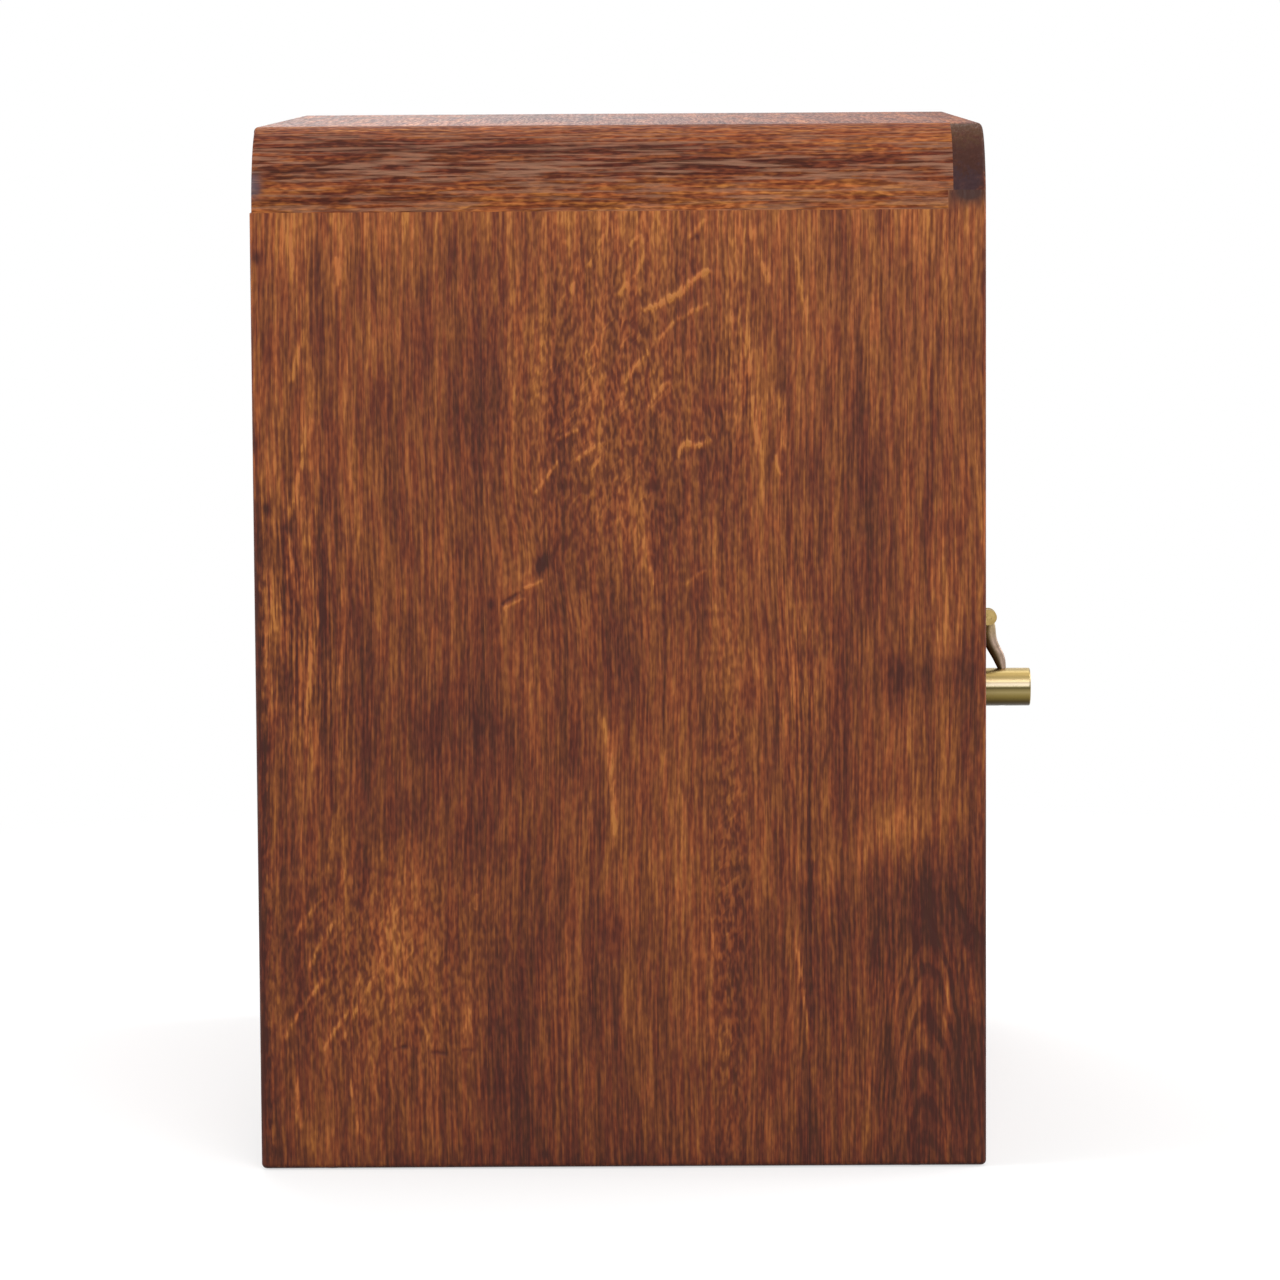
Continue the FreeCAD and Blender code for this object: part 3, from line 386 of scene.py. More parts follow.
def ring_distance(node_name, grain, seed, places, wander):
    """Distance from the middle of the tree, which lies a little behind the board."""
    across, through, along = places
    centre = middle_of(node_name, grain)
    sideways = across - (centre[0] + PITH_ASIDE * math.cos(seed))
    tilt = PITH_TILT * math.sin(seed * PITH_TILT_TURN)
    depth = (through - centre[1]) + (along - centre[2]) * tilt + wander * PITH_SWAY
    depth = depth + (PITH_DEPTH + PITH_SPREAD * math.sin(seed))
    return (depth * depth + sideways * sideways).math("SQRT")


def ray_flakes(paint, seed, places, wander):
    """Short light flakes that lean over the grain."""
    across, through, along = places
    lengthways = along * math.cos(RAY_LEAN) - across * math.sin(RAY_LEAN)
    slanted = across * math.cos(RAY_LEAN) + along * math.sin(RAY_LEAN) + wander * RAY_SWAY
    fine, deep, long = RAY_CELLS
    cells = paint.vector(slanted * fine + seed, through * deep, lengthways * long)
    return paint.noise(cells, 1.0).smooth(*RAY_STEP)


def stained(paint, shade, hues, cut, places):
    """The stain for a shade: redder or greener by place, darker where a face cuts the grain."""
    colour = paint.ramp(shade, WOOD_STOPS)
    for hue, step in ((RUSSET, RUSSET_STEP), (OLIVE, OLIVE_STEP)):
        dyed = paint.mix(1.0, colour, hue, "MULTIPLY")
        colour = paint.mix(hues.smooth(*step) * HUE_SHARE, colour, dyed)
    pores = paint.noise(paint.stretched(places, END_CELLS), 2.0)
    light_end = paint.ramp(shade - END_SHADE, WOOD_STOPS)
    end_colour = paint.mix(pores.smooth(*END_PORES), END_WOOD, light_end)
    return paint.mix(cut.smooth(*END_STEP), colour, end_colour)


def oak(node_name, grain, seed, tone, relief, contrast, gloss, dullness, figure, rays, marks):
    """Brushed, stained oak with its grain along an axis, and the marks of one board alone."""
    paint = Paint(bpy.data.materials.new(f"{node_name}_oak"))
    across, through, along, cut = board_places(paint, grain)
    own = marks(paint, across, through, along) if marks else {}
    wide, long = WANDER_CELLS
    wander = paint.vector(across * wide + seed, through * wide, along * long)
    wander = paint.noise(wander, 1.0) - 0.5
    across = across + wander * WANDER_WAY + own.get("bulge", 0.0)
    places = (across, through, along)

    def layer(fine, long, shift, detail, roughness):
        cells = paint.vector(
            across * fine + (seed + shift), through * fine + shift, along * long + shift)
        return paint.noise(cells, detail, roughness)

    patches, bands, lines, flecks, hues = (
        layer(*cells) for cells in (PATCHES, BANDS, LINES, FLECKS, HUES))
    mottle = FLECK_SHARE + own.get("mottle", 0.0)
    lines, flecks = (noise.smooth(*NOISE_SPAN) - 0.5 for noise in (lines, flecks))
    fine = lines * (1 - mottle) + flecks * mottle
    clouds = (patches - 0.5) * own.get("cloud", CLOUD_SHARE)
    shade = (MIDDLE_SHADE + tone + clouds + (bands - 0.5) * BAND_SHARE
             + fine * (own.get("crisp", 1.0) * (LINE_SHARE * contrast)) + own.get("shade", 0.0))
    if "strokes" in own:
        shade = shade + own["strokes"] * (STROKE_LEVEL + fine * STROKE_GRAIN)
    if figure:
        distance = ring_distance(node_name, grain, seed, places, wander)
        rings = (distance * RING_RATE + bands * RING_RIPPLE + fine).math("SINE").smooth(*RING_STEP)
        shade = shade - rings * (RING_SHARE * figure) + RING_BASE * figure
    if rays or "rays" in own:
        share = own["rays"] if "rays" in own else patches.smooth(*RAY_PATCHES) * rays
        shade = shade + ray_flakes(paint, seed, places, wander) * RAY_SHARE * share
    colour = stained(paint, shade, hues, cut, places)
    if "stain" in own:
        colour = paint.mix(own["stain"][0], colour, own["stain"][1])
    height = fine + bands * BAND_HEIGHT + own.get("strokes", 0.0) * STROKE_HEIGHT
    return paint.surface(
        Base_Color=colour, Roughness=dullness - fine * PORE_DULLNESS, Specular_IOR_Level=gloss,
        Normal=paint.bump(height, BRUSH_STRENGTH * relief, BRUSH_DEPTH))


# The left side, which the photograph shows: its own patches and marks. Places are distances from
# the rear edge and heights, in millimetres, judged.

SIDE_PATCHES = [
    # rear, height, half width, half height, slant, strength
    (30, 452, 40, 14, 0.0, 0.14), (150, 458, 70, 9, 0.0, 0.10), (240, 440, 14, 28, 0.0, 0.14),
    (57, 400, 9, 22, 0.0, 0.14), (50, 325, 8, 26, 0.0, 0.12), (58, 280, 14, 16, 0.0, 0.12),
    (140, 398, 12, 24, 0.0, 0.10), (183, 320, 8, 26, 0.0, 0.14), (290, 415, 38, 38, 0.0, 0.10),
    (312, 370, 14, 38, 0.0, 0.12), (240, 385, 6, 34, 0.0, 0.12), (329, 272, 10, 26, 0.0, 0.20),
    (302, 161, 31, 13, 0.42, 0.27), (213, 150, 8, 80, 0.0, 0.16), (250, 230, 8, 80, 0.0, 0.10),
    (184, 195, 14, 44, 0.0, 0.12), (170, 140, 10, 24, 0.0, 0.10), (82, 95, 19, 36, 0.0, 0.13),
    (62, 110, 10, 42, 0.0, 0.08), (300, 205, 20, 14, 0.0, 0.10), (234, 40, 12, 40, 0.0, 0.10),
    (100, 372, 20, 36, 0.0, -0.14), (112, 320, 12, 50, 0.0, -0.10), (100, 218, 14, 22, 0.0, -0.26),
    (107, 167, 9, 15, 0.0, -0.24), (118, 60, 11, 52, 0.0, -0.20), (126, 14, 11, 22, 0.0, -0.16),
    (142, 105, 24, 60, 0.0, -0.10), (190, 402, 8, 16, 0.0, -0.14), (320, 238, 24, 9, 0.0, -0.26),
    (322, 126, 22, 20, 0.3, -0.24), (325, 40, 26, 34, 0.0, -0.14), (277, 112, 9, 55, 0.0, -0.12),
    (232, 120, 6, 66, 0.0, -0.12), (265, 14, 10, 12, 0.0, -0.16), (344, 90, 8, 90, 0.0, -0.14),
    (298, 305, 6, 14, 0.0, -0.14), (205, 330, 10, 30, 0.0, -0.08), (70, 172, 14, 14, 0.0, -0.16),
    (1, 352, 3, 9, 0.0, -0.40), (29, 404, 2.5, 12, 0.0, -0.26), (38, 452, 1.4, 3, 0.0, -0.30),
    (16, 311, 2, 3, 0.0, -0.30),
]
SIDE_STROKES = [
    # start rear, height, end rear, height, bend, half width, strength
    (186, 413, 200, 419, -0.8, 1.4, 0.62), (199, 418, 209, 426, -0.5, 1.6, 0.70),
    (208, 425, 218, 432, 0.6, 1.2, 0.62), (198, 405, 218, 416, 1.0, 1.2, 0.36),
    (209, 447, 216, 456, 0.5, 1.1, 0.40), (173, 420, 187, 440, -2.0, 1.0, 0.34),
    (176, 369, 184, 388, 2.0, 1.1, 0.36), (184, 388, 199, 405, 0.0, 1.1, 0.36),
    (187, 365, 198, 379, 0.8, 1.1, 0.40), (202, 343, 207, 351, 0.4, 1.3, 0.50),
    (206, 351, 213, 348, -0.4, 1.6, 0.60), (212, 348, 218, 352, -0.4, 1.3, 0.55),
    (154, 342, 168, 350, 1.0, 1.1, 0.46), (145, 352, 156, 357, 0.0, 1.0, 0.30),
    (134, 326, 146, 342, 0.0, 1.0, 0.40), (180, 443, 186, 449, 0.5, 0.9, 0.30),
    (161, 434, 168, 449, 0.6, 0.9, 0.30), (152, 417, 156, 434, 0.6, 0.9, 0.26),
    (238, 452, 247, 425, -1.0, 1.4, 0.40), (235, 402, 236, 380, 0.0, 1.5, 0.36),
    (237, 372, 241, 344, 0.6, 1.2, 0.30), (251, 374, 252, 346, 0.6, 1.9, 0.42),
    (259, 438, 263, 410, 0.6, 0.9, 0.34), (249, 344, 252, 334, -0.8, 0.9, 0.26),
    (25, 404, 19, 380, 0.0, 1.3, 0.44), (26, 360, 17, 315, 1.2, 1.3, 0.44),
    (16, 308, 17, 286, 0.6, 0.9, 0.36), (16, 456, 22, 410, 2.0, 1.3, 0.32),
    (41, 439, 42, 425, 0.0, 1.0, 0.50), (24, 206, 30, 268, 1.0, 1.3, 0.34),
    (33, 330, 33, 206, -1.0, 1.2, -0.34), (166, 219, 171, 158, 1.4, 1.1, 0.40),
    (184, 306, 191, 280, 1.0, 1.0, 0.26), (205, 281, 216, 289, 1.0, 1.0, 0.26),
    (195, 278, 195, 203, 0.4, 0.9, -0.28), (264, 214, 264, 4, 0.6, 0.9, -0.40),
    (265, 149, 265, 128, 0.0, 1.2, -0.45), (258, 108, 265, 42, 1.0, 1.0, 0.42),
    (33, 140, 40, 179, 0.8, 1.1, 0.32), (24, 99, 37, 121, 0.6, 1.1, 0.40),
    (12, 64, 31, 93, 0.8, 1.2, 0.44), (17, 114, 31, 132, 0.6, 1.0, 0.36),
    (40, 63, 55, 93, 0.8, 1.0, 0.34), (48, 96, 43, 77, 0.6, 1.0, 0.32),
    (30, 58, 42, 76, 0.4, 1.0, 0.34), (19, 20, 17, 48, 0.6, 1.2, 0.44),
    (47, 18, 43, 48, 0.6, 1.1, 0.34), (58, 100, 62, 122, 0.6, 0.9, 0.28),
    (76, 76, 82, 60, 0.6, 1.0, 0.30), (105, 134, 104, 126, 0.0, 1.0, 0.34),
    (101, 78, 97, 66, 0.5, 1.0, 0.26), (64, 58, 71, 60, 0.6, 0.9, -0.30),
    (82, 57, 90, 56, 0.5, 1.0, -0.32), (97, 58, 103, 58, 0.3, 0.9, -0.22),
    (118, 273, 127, 279, 0.3, 0.9, -0.46), (119, 271, 129, 276, 0.3, 0.8, 0.34),
    (128, 281, 138, 285, -0.6, 0.8, 0.30), (318, 128, 336, 60, 4.0, 1.3, -0.30),
    (312, 118, 322, 60, 3.0, 1.2, -0.26), (341, 118, 346, 40, -3.0, 1.3, -0.28),
    (333, 134, 349, 108, -2.0, 1.6, -0.34), (300, 130, 290, 60, -2.0, 1.1, -0.20),
    (326, 108, 331, 70, 2.0, 1.6, 0.24), (338, 108, 343, 70, 1.0, 1.4, 0.24),
]
MOTTLED = [
    # rear, height, half width, half height, slant, strength
    (170, 370, 48, 84, 0.0, 0.5), (55, 100, 50, 52, 0.0, 0.42), (226, 128, 8, 120, 0.0, 0.5),
]
CRISP = [
    # rear, height, half width, half height, slant, strength
    (22, 265, 24, 60, 0.0, 0.65), (262, 240, 12, 60, 0.0, 0.4), (230, 384, 9, 60, 0.0, 0.4),
]
SMALL_DOTS = [
    # rear, height, half width
    (113, 273, 1.8), (3, 439, 2.4), (6.5, 320, 2.2), (5, 205, 2.2), (137, 7, 1.6), (212, 448, 1.2),
]
DOT_LENGTH = 1.3
DOT_SHARE = 0.5

# The ragged strokes, the rays and crisp lines between them, and how deep the marks go into a board
STROKE_WIDTH = 1.1
STROKE_MARGIN = 4
STROKE_ENDS = (0.58, 0.42)
RAGGED_CELLS = (0.4, 0.14)
RAGGED_STEP = (0.34, 0.62)
RAGGED_SHARE = 0.7
RAGGED_BASE = 0.68
MOTTLED_RAYS = (0.1, 0.45)
MOTTLED_RAY_SHARE = 0.5
MARK_DEPTH = (3, 6)
SIDE_CLOUD = 0.42

# The shade over the height: a slow rise of painted light from above, and soft steps with their
# beginning, end and strength
PAINTED_LIGHT_LEVEL = 230
PAINTED_LIGHT_RISE = 0.00027
BRIGHT_TOP = (425, 458, 0.1)
# The dark foot, rear and front rims are partly pooled stain and partly painted shade of the rounded
# edges
DARK_FOOT = (14, 0, -0.14)
DARK_REAR = (345, 290, 0.4)
DARK_REAR_WIDTH = (9.5, 4)
DARK_REAR_SWAY = 4
DARK_REAR_REACH = 6
FRONT_EDGE = 349
FRONT_EDGE_WIDTH = 6
DARK_FRONT = (200, 120, 0.16)

# The knot with a glow below it and the grain that flows round it, and the stain on the stile
KNOT = (137.5, 292.5, 2.9, 3.8, 0.6)
KNOT_SHARE = 1.1
KNOT_GLOW = (128.5, 283.5, 6, 9, 0.8)
KNOT_GLOW_SHARE = 0.10
KNOT_FLOW = (137.5, 292.5, 12, 24, 0)
KNOT_PUSH = -0.45
KNOT_REACH = 14
STILE_STAIN = (341, 468, 10, 6, 0.0)
STILE_STAIN_SHARE = 1.3
STILE_STAIN_REACH = 6

# Arches of year rings, low at the front
ARCHES = (321, 66, 26, 60, 0)
ARCH_BEND = 0.22
ARCH_SWAY = 30
ARCH_SWAY_CELLS = (0.05, 0.03)
ARCH_RATE = 0.3
ARCH_STEP = (-0.3, 0.8)
ARCH_MIDDLE = 0.3
ARCH_SHARE = 0.32

# Stained end grain, which also shows on the stile under the rail's end; the high tone adds painted
# light where the rounded corner turns up
RAIL_END_LOW = tint(62, 43, 46)
RAIL_END_MIDDLE = tint(65, 38, 31)
RAIL_END_HIGH_PAINTED_LIGHT = tint(76, 50, 33)


def slope(place, first, second, level):
    """A value that rises evenly over a board: a share of each of its two distances, and a level."""
    return place.paint.node("ShaderNodeVectorMath", {"operation": "DOT_PRODUCT"},
                            {0: place, 1: (first, second, level)}, output="Value")


def patch(place, spot):
    """A soft oval with its middle, half sizes and slant in millimetres."""
    rear, height, half_width, half_height, slant = spot[:5]
    across = slope(place, 1 / half_width, 0, -rear / half_width)
    upward = slope(
        place, -slant / half_height, 1 / half_height, (slant * rear - height) / half_height)
    return ((across * across + upward * upward) * -1).math("EXPONENT")


def stroke(place, mark):
    """A soft line from one place to another, bowed to one side of its way."""
    start_rear, start_height, end_rear, end_height, bend, width = mark[:6]
    run = Vector((end_rear - start_rear, end_height - start_height))
    step = run.normalized()
    begun = (start_rear * step.x + start_height * step.y) / run.length
    way = slope(place, step.x / run.length, step.y / run.length, -begun)
    off = slope(place, -step.y, step.x, start_rear * step.y - start_height * step.x)
    ends = (way - 0.5).math("ABSOLUTE").smooth(*STROKE_ENDS)
    return (off - way * (1 - way) * (4 * bend)).bell(width * STROKE_WIDTH) * ends


def fade(value, step):
    """A soft step of a value, with its strength."""
    begin, full, strength = step
    return value.smooth(begin, full) * strength


def low_arches(paint, place, rear, height):
    """Year rings as faint arches."""
    aside = rear - ARCHES[0]
    fine, long = ARCH_SWAY_CELLS
    sway = paint.noise(paint.vector(rear * fine, 0.0, height * long), 1.0)
    rings = ((height + aside * aside * ARCH_BEND + sway * ARCH_SWAY) * ARCH_RATE).math("SINE")
    return (rings.smooth(*ARCH_STEP) - ARCH_MIDDLE) * patch(place, ARCHES) * ARCH_SHARE


def left_side_marks(low, high):
    """Marks of the left side between two distances from the rear edge."""
    def near(middle, reach):
        return low - 2 * reach < middle < high + 2 * reach

    def spots(rows):
        return [row for row in rows if near(row[0], row[2])]

    def strokes_here():
        return [mark for mark in SIDE_STROKES
                if near((mark[0] + mark[2]) / 2, abs(mark[0] - mark[2]) / 2 + STROKE_MARGIN)]

    def marks(paint, across, through, along):
        rear = (REAR_EDGE - across) / MILLIMETRE
        height = along / MILLIMETRE
        place = paint.vector(rear, height, 1.0)
        outside = 1 - through.smooth(*(LEFT_FACE + depth * MILLIMETRE for depth in MARK_DEPTH))
        own = {"cloud": SIDE_CLOUD}
        # A slow rise of painted light from above
        shade = (height - PAINTED_LIGHT_LEVEL) * PAINTED_LIGHT_RISE + fade(height, BRIGHT_TOP)
        for spot in spots(SIDE_PATCHES):
            shade = shade + patch(place, spot) * spot[5]
        for rear_place, high_place, width in spots(SMALL_DOTS):
            dot = (rear_place, high_place, width, width * DOT_LENGTH, 0)
            shade = shade - patch(place, dot) * DOT_SHARE
        # Darker at the foot: partly pooled stain, partly painted shade
        shade = shade + fade(height, DARK_FOOT)
        fine, long = RAGGED_CELLS
        ragged = paint.noise(paint.vector(rear * fine, 0.0, height * long), 2.0)
        ragged = ragged.smooth(*RAGGED_STEP)
        strokes = sum(stroke(place, mark) * mark[6] for mark in strokes_here())
        own["strokes"] = (ragged * RAGGED_SHARE + RAGGED_BASE) * strokes * outside
        for spot in spots(CRISP):
            own["crisp"] = patch(place, spot) * spot[5] * outside + own.get("crisp", 1.0)
        if spots(MOTTLED):
            mottle = sum(patch(place, spot) * spot[5] for spot in spots(MOTTLED))
            own["mottle"] = mottle * outside
            own["rays"] = mottle.smooth(*MOTTLED_RAYS) * outside * MOTTLED_RAY_SHARE
        # Darker at the rear edge: partly pooled stain, partly painted shade of the rounded edge
        if near(0, DARK_REAR_REACH):
            edge = (rear + ragged * DARK_REAR_SWAY).smooth(*DARK_REAR_WIDTH)
            shade = shade - edge * fade(height, DARK_REAR)
        if near(ARCHES[0], ARCHES[2]):
            shade = shade - low_arches(paint, place, rear, height)
        # Darker at the front edge low down: partly pooled stain, partly painted shade
        if near(FRONT_EDGE, FRONT_EDGE_WIDTH):
            shade = shade - (rear - FRONT_EDGE).bell(FRONT_EDGE_WIDTH) * fade(height, DARK_FRONT)
        if near(STILE_STAIN[0], STILE_STAIN_REACH):
            share = patch(place, STILE_STAIN) * outside * STILE_STAIN_SHARE
            own["stain"] = (share, RAIL_END_MIDDLE)
        if near(KNOT[0], KNOT_REACH):
            shade = shade - patch(place, KNOT) * KNOT_SHARE
            shade = shade + patch(place, KNOT_GLOW) * KNOT_GLOW_SHARE
            own["bulge"] = (patch(place, KNOT_FLOW) * (rear - KNOT[0])) * (KNOT_PUSH * MILLIMETRE)
        own["shade"] = shade * outside
        return own

    return marks


# Small knots of the other boards: shares of their size, and strengths
KNOT_LENGTH = 1.3
KNOT_SLANT = 0.1
KNOT_HALO = (2.4, 4.5)
KNOT_RINGS = 5.2
KNOT_RING_LENGTH = 0.5
KNOT_RING_SHARE = 0.16
KNOT_HEART_SHARE = 0.6
KNOT_HALO_SHARE = 0.08
KNOT_BULGE = -0.5


def knot_marks(node_name, grain, sideways, lengthways, size):
    """A small knot at a distance from the middle of a board, with the grain flowing round it."""
    centre = middle_of(node_name, grain)

    def marks(paint, across, through, along):
        aside = (across - centre[0]) / MILLIMETRE - sideways
        off = (along - centre[2]) / MILLIMETRE - lengthways
        place = paint.vector(aside, off, 1.0)
        heart = patch(place, (0, 0, size, size * KNOT_LENGTH, KNOT_SLANT))
        halo = patch(place, (0, 0, size * KNOT_HALO[0], size * KNOT_HALO[1], 0.0))
        eye = (aside * aside + off * off * KNOT_RING_LENGTH).math("SQRT") * (KNOT_RINGS / size)
        swirl = eye.math("SINE") * halo * KNOT_RING_SHARE
        return {"shade": swirl - heart * KNOT_HEART_SHARE - halo * KNOT_HALO_SHARE,
                "bulge": halo * aside * (KNOT_BULGE * MILLIMETRE)}

    return marks


# Corner blocks: the grain runs from front to back, deeply brushed

BLOCK_ROWS_AND_PAINTED_LIGHT = [
    # height over the seam, half width, strength: grain rows, with painted shade where the rounded
    # corner turns and painted sheen near its top
    (29.8, 2.0, -0.26), (35.0, 2.0, 0.05), (20.0, 5.5, -0.36), (11.0, 3.4, 0.12), (5.4, 1.6, -0.13),
    (1.0, 2.4, 0.17), (39.0, 3.0, 0.08),
]
BLOCK_TONE = 0.02
BLOCK_MOTTLE = 0.24
BLOCK_CONTRAST = 1.1
# The pale grey on the brushed ridges is a painted sheen
RIDGE_PAINTED_SHEEN = tint(156, 113, 90)
RIDGE_CELLS = (540, 540, 32)
RIDGE_STEP = (0.44, 0.66)
RIDGE_REACH = (-2, 37, 3)
RIDGE_SHARE = 0.55
RIDGE_MIDDLE = 19
RIDGE_MIDDLE_WIDTH = 6
RIDGE_MIDDLE_SHARE = 0.2
BLUISH_PATCH = tint(90, 88, 98)
BLUISH_PATCH_SHARE = 0.75
BLUISH_PATCH_REACH = (9, 1)
BLUISH_PATCH_HEIGHT = (7, 18, 4)
BLUISH_PATCH_STEP = (0.0, 0.5)


def block_marks(left):
    """Rows along the block with painted shade and sheen, a painted sheen on its ridges, and on the
    left one a bluish patch at its rear end.
    """
    def marks(paint, across, through, along):
        over = (through - SEAM) / MILLIMETRE
        shade = BLOCK_TONE
        # The rows are partly grain and partly painted shade and sheen across the rounded corner
        for middle, width, strength in BLOCK_ROWS_AND_PAINTED_LIGHT:
            shade = shade + (over - middle).bell(width) * strength
        middle_rows = (over - RIDGE_MIDDLE).bell(RIDGE_MIDDLE_WIDTH) * RIDGE_MIDDLE_SHARE
        reach = over.between(*RIDGE_REACH) * RIDGE_SHARE + middle_rows
        # Painted sheen on the brushed ridges, strongest in the middle rows
        ridge_sheen = paint.noise(paint.stretched((across, through, along), RIDGE_CELLS), 2.0)
        ridge_sheen = ridge_sheen.smooth(*RIDGE_STEP) * reach
        own = {"shade": shade, "mottle": BLOCK_MOTTLE, "stain": (ridge_sheen, RIDGE_PAINTED_SHEEN)}
        if left:
            rear = (REAR_EDGE - along) / MILLIMETRE
            # A bluish patch at the rear end of the left block
            bluish_patch = rear.smooth(*BLUISH_PATCH_REACH) * over.between(*BLUISH_PATCH_HEIGHT) * BLUISH_PATCH_SHARE
            colour = paint.mix(bluish_patch.smooth(*BLUISH_PATCH_STEP), RIDGE_PAINTED_SHEEN, BLUISH_PATCH)
            own["stain"] = (ridge_sheen.math("MAXIMUM", bluish_patch), colour)
        return own

    return marks


# Top rail: dark end grain on the rounded corner, lighter towards its top with painted light

RAIL_STAIN_INSET = 42
RAIL_STAIN_STEP = (4, 9)
RAIL_STAIN_SHARE = 0.72
RAIL_STAIN_CLOUD = 0.4
RAIL_RIM_STEP = (1.6, 6.5)
RAIL_RIM_SLOPE = 0.5
RAIL_CLOUD_CELLS = (260, 260, 260)
RAIL_PORE_CELLS = (900, 500, 100)
RAIL_CLOUD_SWAY = 22
RAIL_PORE_SWAY = 12
RAIL_LOW_STEP = (4, 14)
RAIL_HIGH_STEP = (19, 30)


def rail_marks(paint, across, through, along):
    """A dark stain on both ends, with a lighter front lower corner and painted light towards the
    top.
    """
    inward = (along.math("ABSOLUTE") + LEFT_FACE) / MILLIMETRE + RAIL_STAIN_INSET
    forward = (across - FRONT_FACE) / MILLIMETRE
    over = (through - RAIL_LOW) / MILLIMETRE
    cloud = paint.noise(paint.stretched((across, through, along), RAIL_CLOUD_CELLS), 2.0)
    pores = paint.noise(paint.stretched((across, through, along), RAIL_PORE_CELLS), 1.0)
    rim = (forward + over * RAIL_RIM_SLOPE).smooth(*RAIL_RIM_STEP)
    dark = inward.smooth(*RAIL_STAIN_STEP) * rim * (RAIL_STAIN_SHARE + cloud * RAIL_STAIN_CLOUD)
    level = over + (cloud - 0.5) * RAIL_CLOUD_SWAY + (pores - 0.5) * RAIL_PORE_SWAY
    # Lighter higher up: painted light where the rounded corner faces up
    colour = paint.mix(level.smooth(*RAIL_LOW_STEP), RAIL_END_LOW, RAIL_END_MIDDLE)
    return {"stain": (dark, paint.mix(level.smooth(*RAIL_HIGH_STEP), colour, RAIL_END_HIGH_PAINTED_LIGHT))}


# Metals, plastic and dowel wood

METAL_CLOUD_CELLS = (220, 220, 220)
METAL_GRIT_CELLS = (1900, 1900, 1900)
METAL_CLOUD_DULLNESS = 0.15
METAL_GRIT_DEPTH = 0.00005
METAL_GRIT_STRENGTH = 0.15


def metal(name, light, dark, roughness, mottle=0.5):
    """Metal whose colour clouds between a light and a dark tone."""
    paint = Paint(bpy.data.materials.new(name))
    cloud = paint.noise(paint.cells(*METAL_CLOUD_CELLS), 3.0)
    grit = paint.noise(paint.cells(*METAL_GRIT_CELLS), 1.0)
    colour = paint.mix(cloud.smooth(0.5 - mottle / 2, 0.5 + mottle / 2), light, dark)
    return paint.surface(
        Base_Color=colour, Metallic=1.0, Roughness=roughness + (cloud - 0.5) * METAL_CLOUD_DULLNESS,
        Normal=paint.bump(grit, METAL_GRIT_STRENGTH, METAL_GRIT_DEPTH))


GRIP_PAINTED_REFLECTIONS = [
    # painted reflections, highlights and shade by how far up the turned surface faces, from 0 below
    # to 1 above
    (0.0, tint(60, 52, 32)), (0.14, tint(76, 64, 36)), (0.26, tint(122, 106, 57)),
    (0.33, tint(140, 123, 73)), (0.40, tint(156, 140, 94)), (0.465, tint(131, 116, 74)),
    (0.523, tint(80, 71, 44)), (0.548, tint(116, 105, 74)), (0.57, tint(146, 136, 112)),
    (0.61, tint(136, 125, 108)), (0.66, tint(114, 103, 84)), (0.73, tint(184, 162, 120)),
    (0.78, tint(176, 154, 101)), (0.83, tint(156, 133, 83)), (0.89, tint(153, 131, 80)),
    (0.94, tint(204, 181, 125)), (1.0, tint(192, 168, 116)),
]
GRIP_END_STEP = (0.5, 0.8)
GRIP_END_LIGHT = tint(172, 148, 92)
GRIP_END_DARK = tint(154, 130, 78)
GRIP_LENGTH_CELLS = 3000
GRIP_RING_CELLS = 2600
GRIP_DULLNESS = 0.24
GRIP_RING_DULLNESS = 0.1
GRIP_RING_STRENGTH = 0.1
GRIP_RING_DEPTH = 0.00005


def turned_brass(name):
    """Brass of the grip with painted reflections: light above, a painted highlight line at its
    middle, painted dark below.
    """
    paint = Paint(bpy.data.materials.new(name))
    place, facing = paint.place_and_facing()
    low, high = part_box("pull_grip")
    aside = place.part("X") - (low.x + high.x) / 2
    above = place.part("Z") - (low.z + high.z) / 2
    radius = (aside * aside + above * above).math("SQRT")
    rings = paint.vector(place.part("Y") * GRIP_LENGTH_CELLS, radius * GRIP_RING_CELLS, 0.0)
    rings = paint.noise(rings, 1.0)
    # Painted reflections and highlights, banded by which way the surface faces
    bands = paint.ramp(facing.part("Z") * 0.5 + 0.5, GRIP_PAINTED_REFLECTIONS)
    end = facing.part("Y").math("ABSOLUTE").smooth(*GRIP_END_STEP)
    end_colour = paint.mix(rings.smooth(*NOISE_SPAN), GRIP_END_LIGHT, GRIP_END_DARK)
    return paint.surface(
        Base_Color=paint.mix(end, bands, end_colour), Metallic=1.0,
        Roughness=GRIP_DULLNESS + rings * GRIP_RING_DULLNESS,
        Normal=paint.bump(rings, GRIP_RING_STRENGTH, GRIP_RING_DEPTH))


# The arm's colours by which way it faces: painted reflections on its outer side, greyish pink low
# down, and painted olive shade on its inner side
ARM_CELLS = (260, 260, 260)
ARM_LOW_STEP = (-0.3, 0.2)
ARM_LOW_PAINTED_REFLECTION = tint(152, 130, 116)
ARM_LOW_PAINTED_SHADE = tint(76, 62, 36)
ARM_HIGH_STEP = (-0.2, 0.4)
ARM_HIGH_PAINTED_REFLECTION = tint(168, 146, 110)
ARM_HIGH_PAINTED_SHADE = tint(112, 94, 62)
ARM_HEIGHT_STEP = (0.55, 0.85)
ARM_TARNISH = tint(96, 80, 52)
ARM_TARNISH_STEP = (0.4, 0.7)
ARM_TARNISH_SHARE = 0.4
ARM_METALNESS = 0.85
ARM_DULLNESS = 0.42
ARM_CLOUD_DULLNESS = 0.3
ARM_CLOUD_STRENGTH = 0.2
ARM_CLOUD_DEPTH = 0.0001


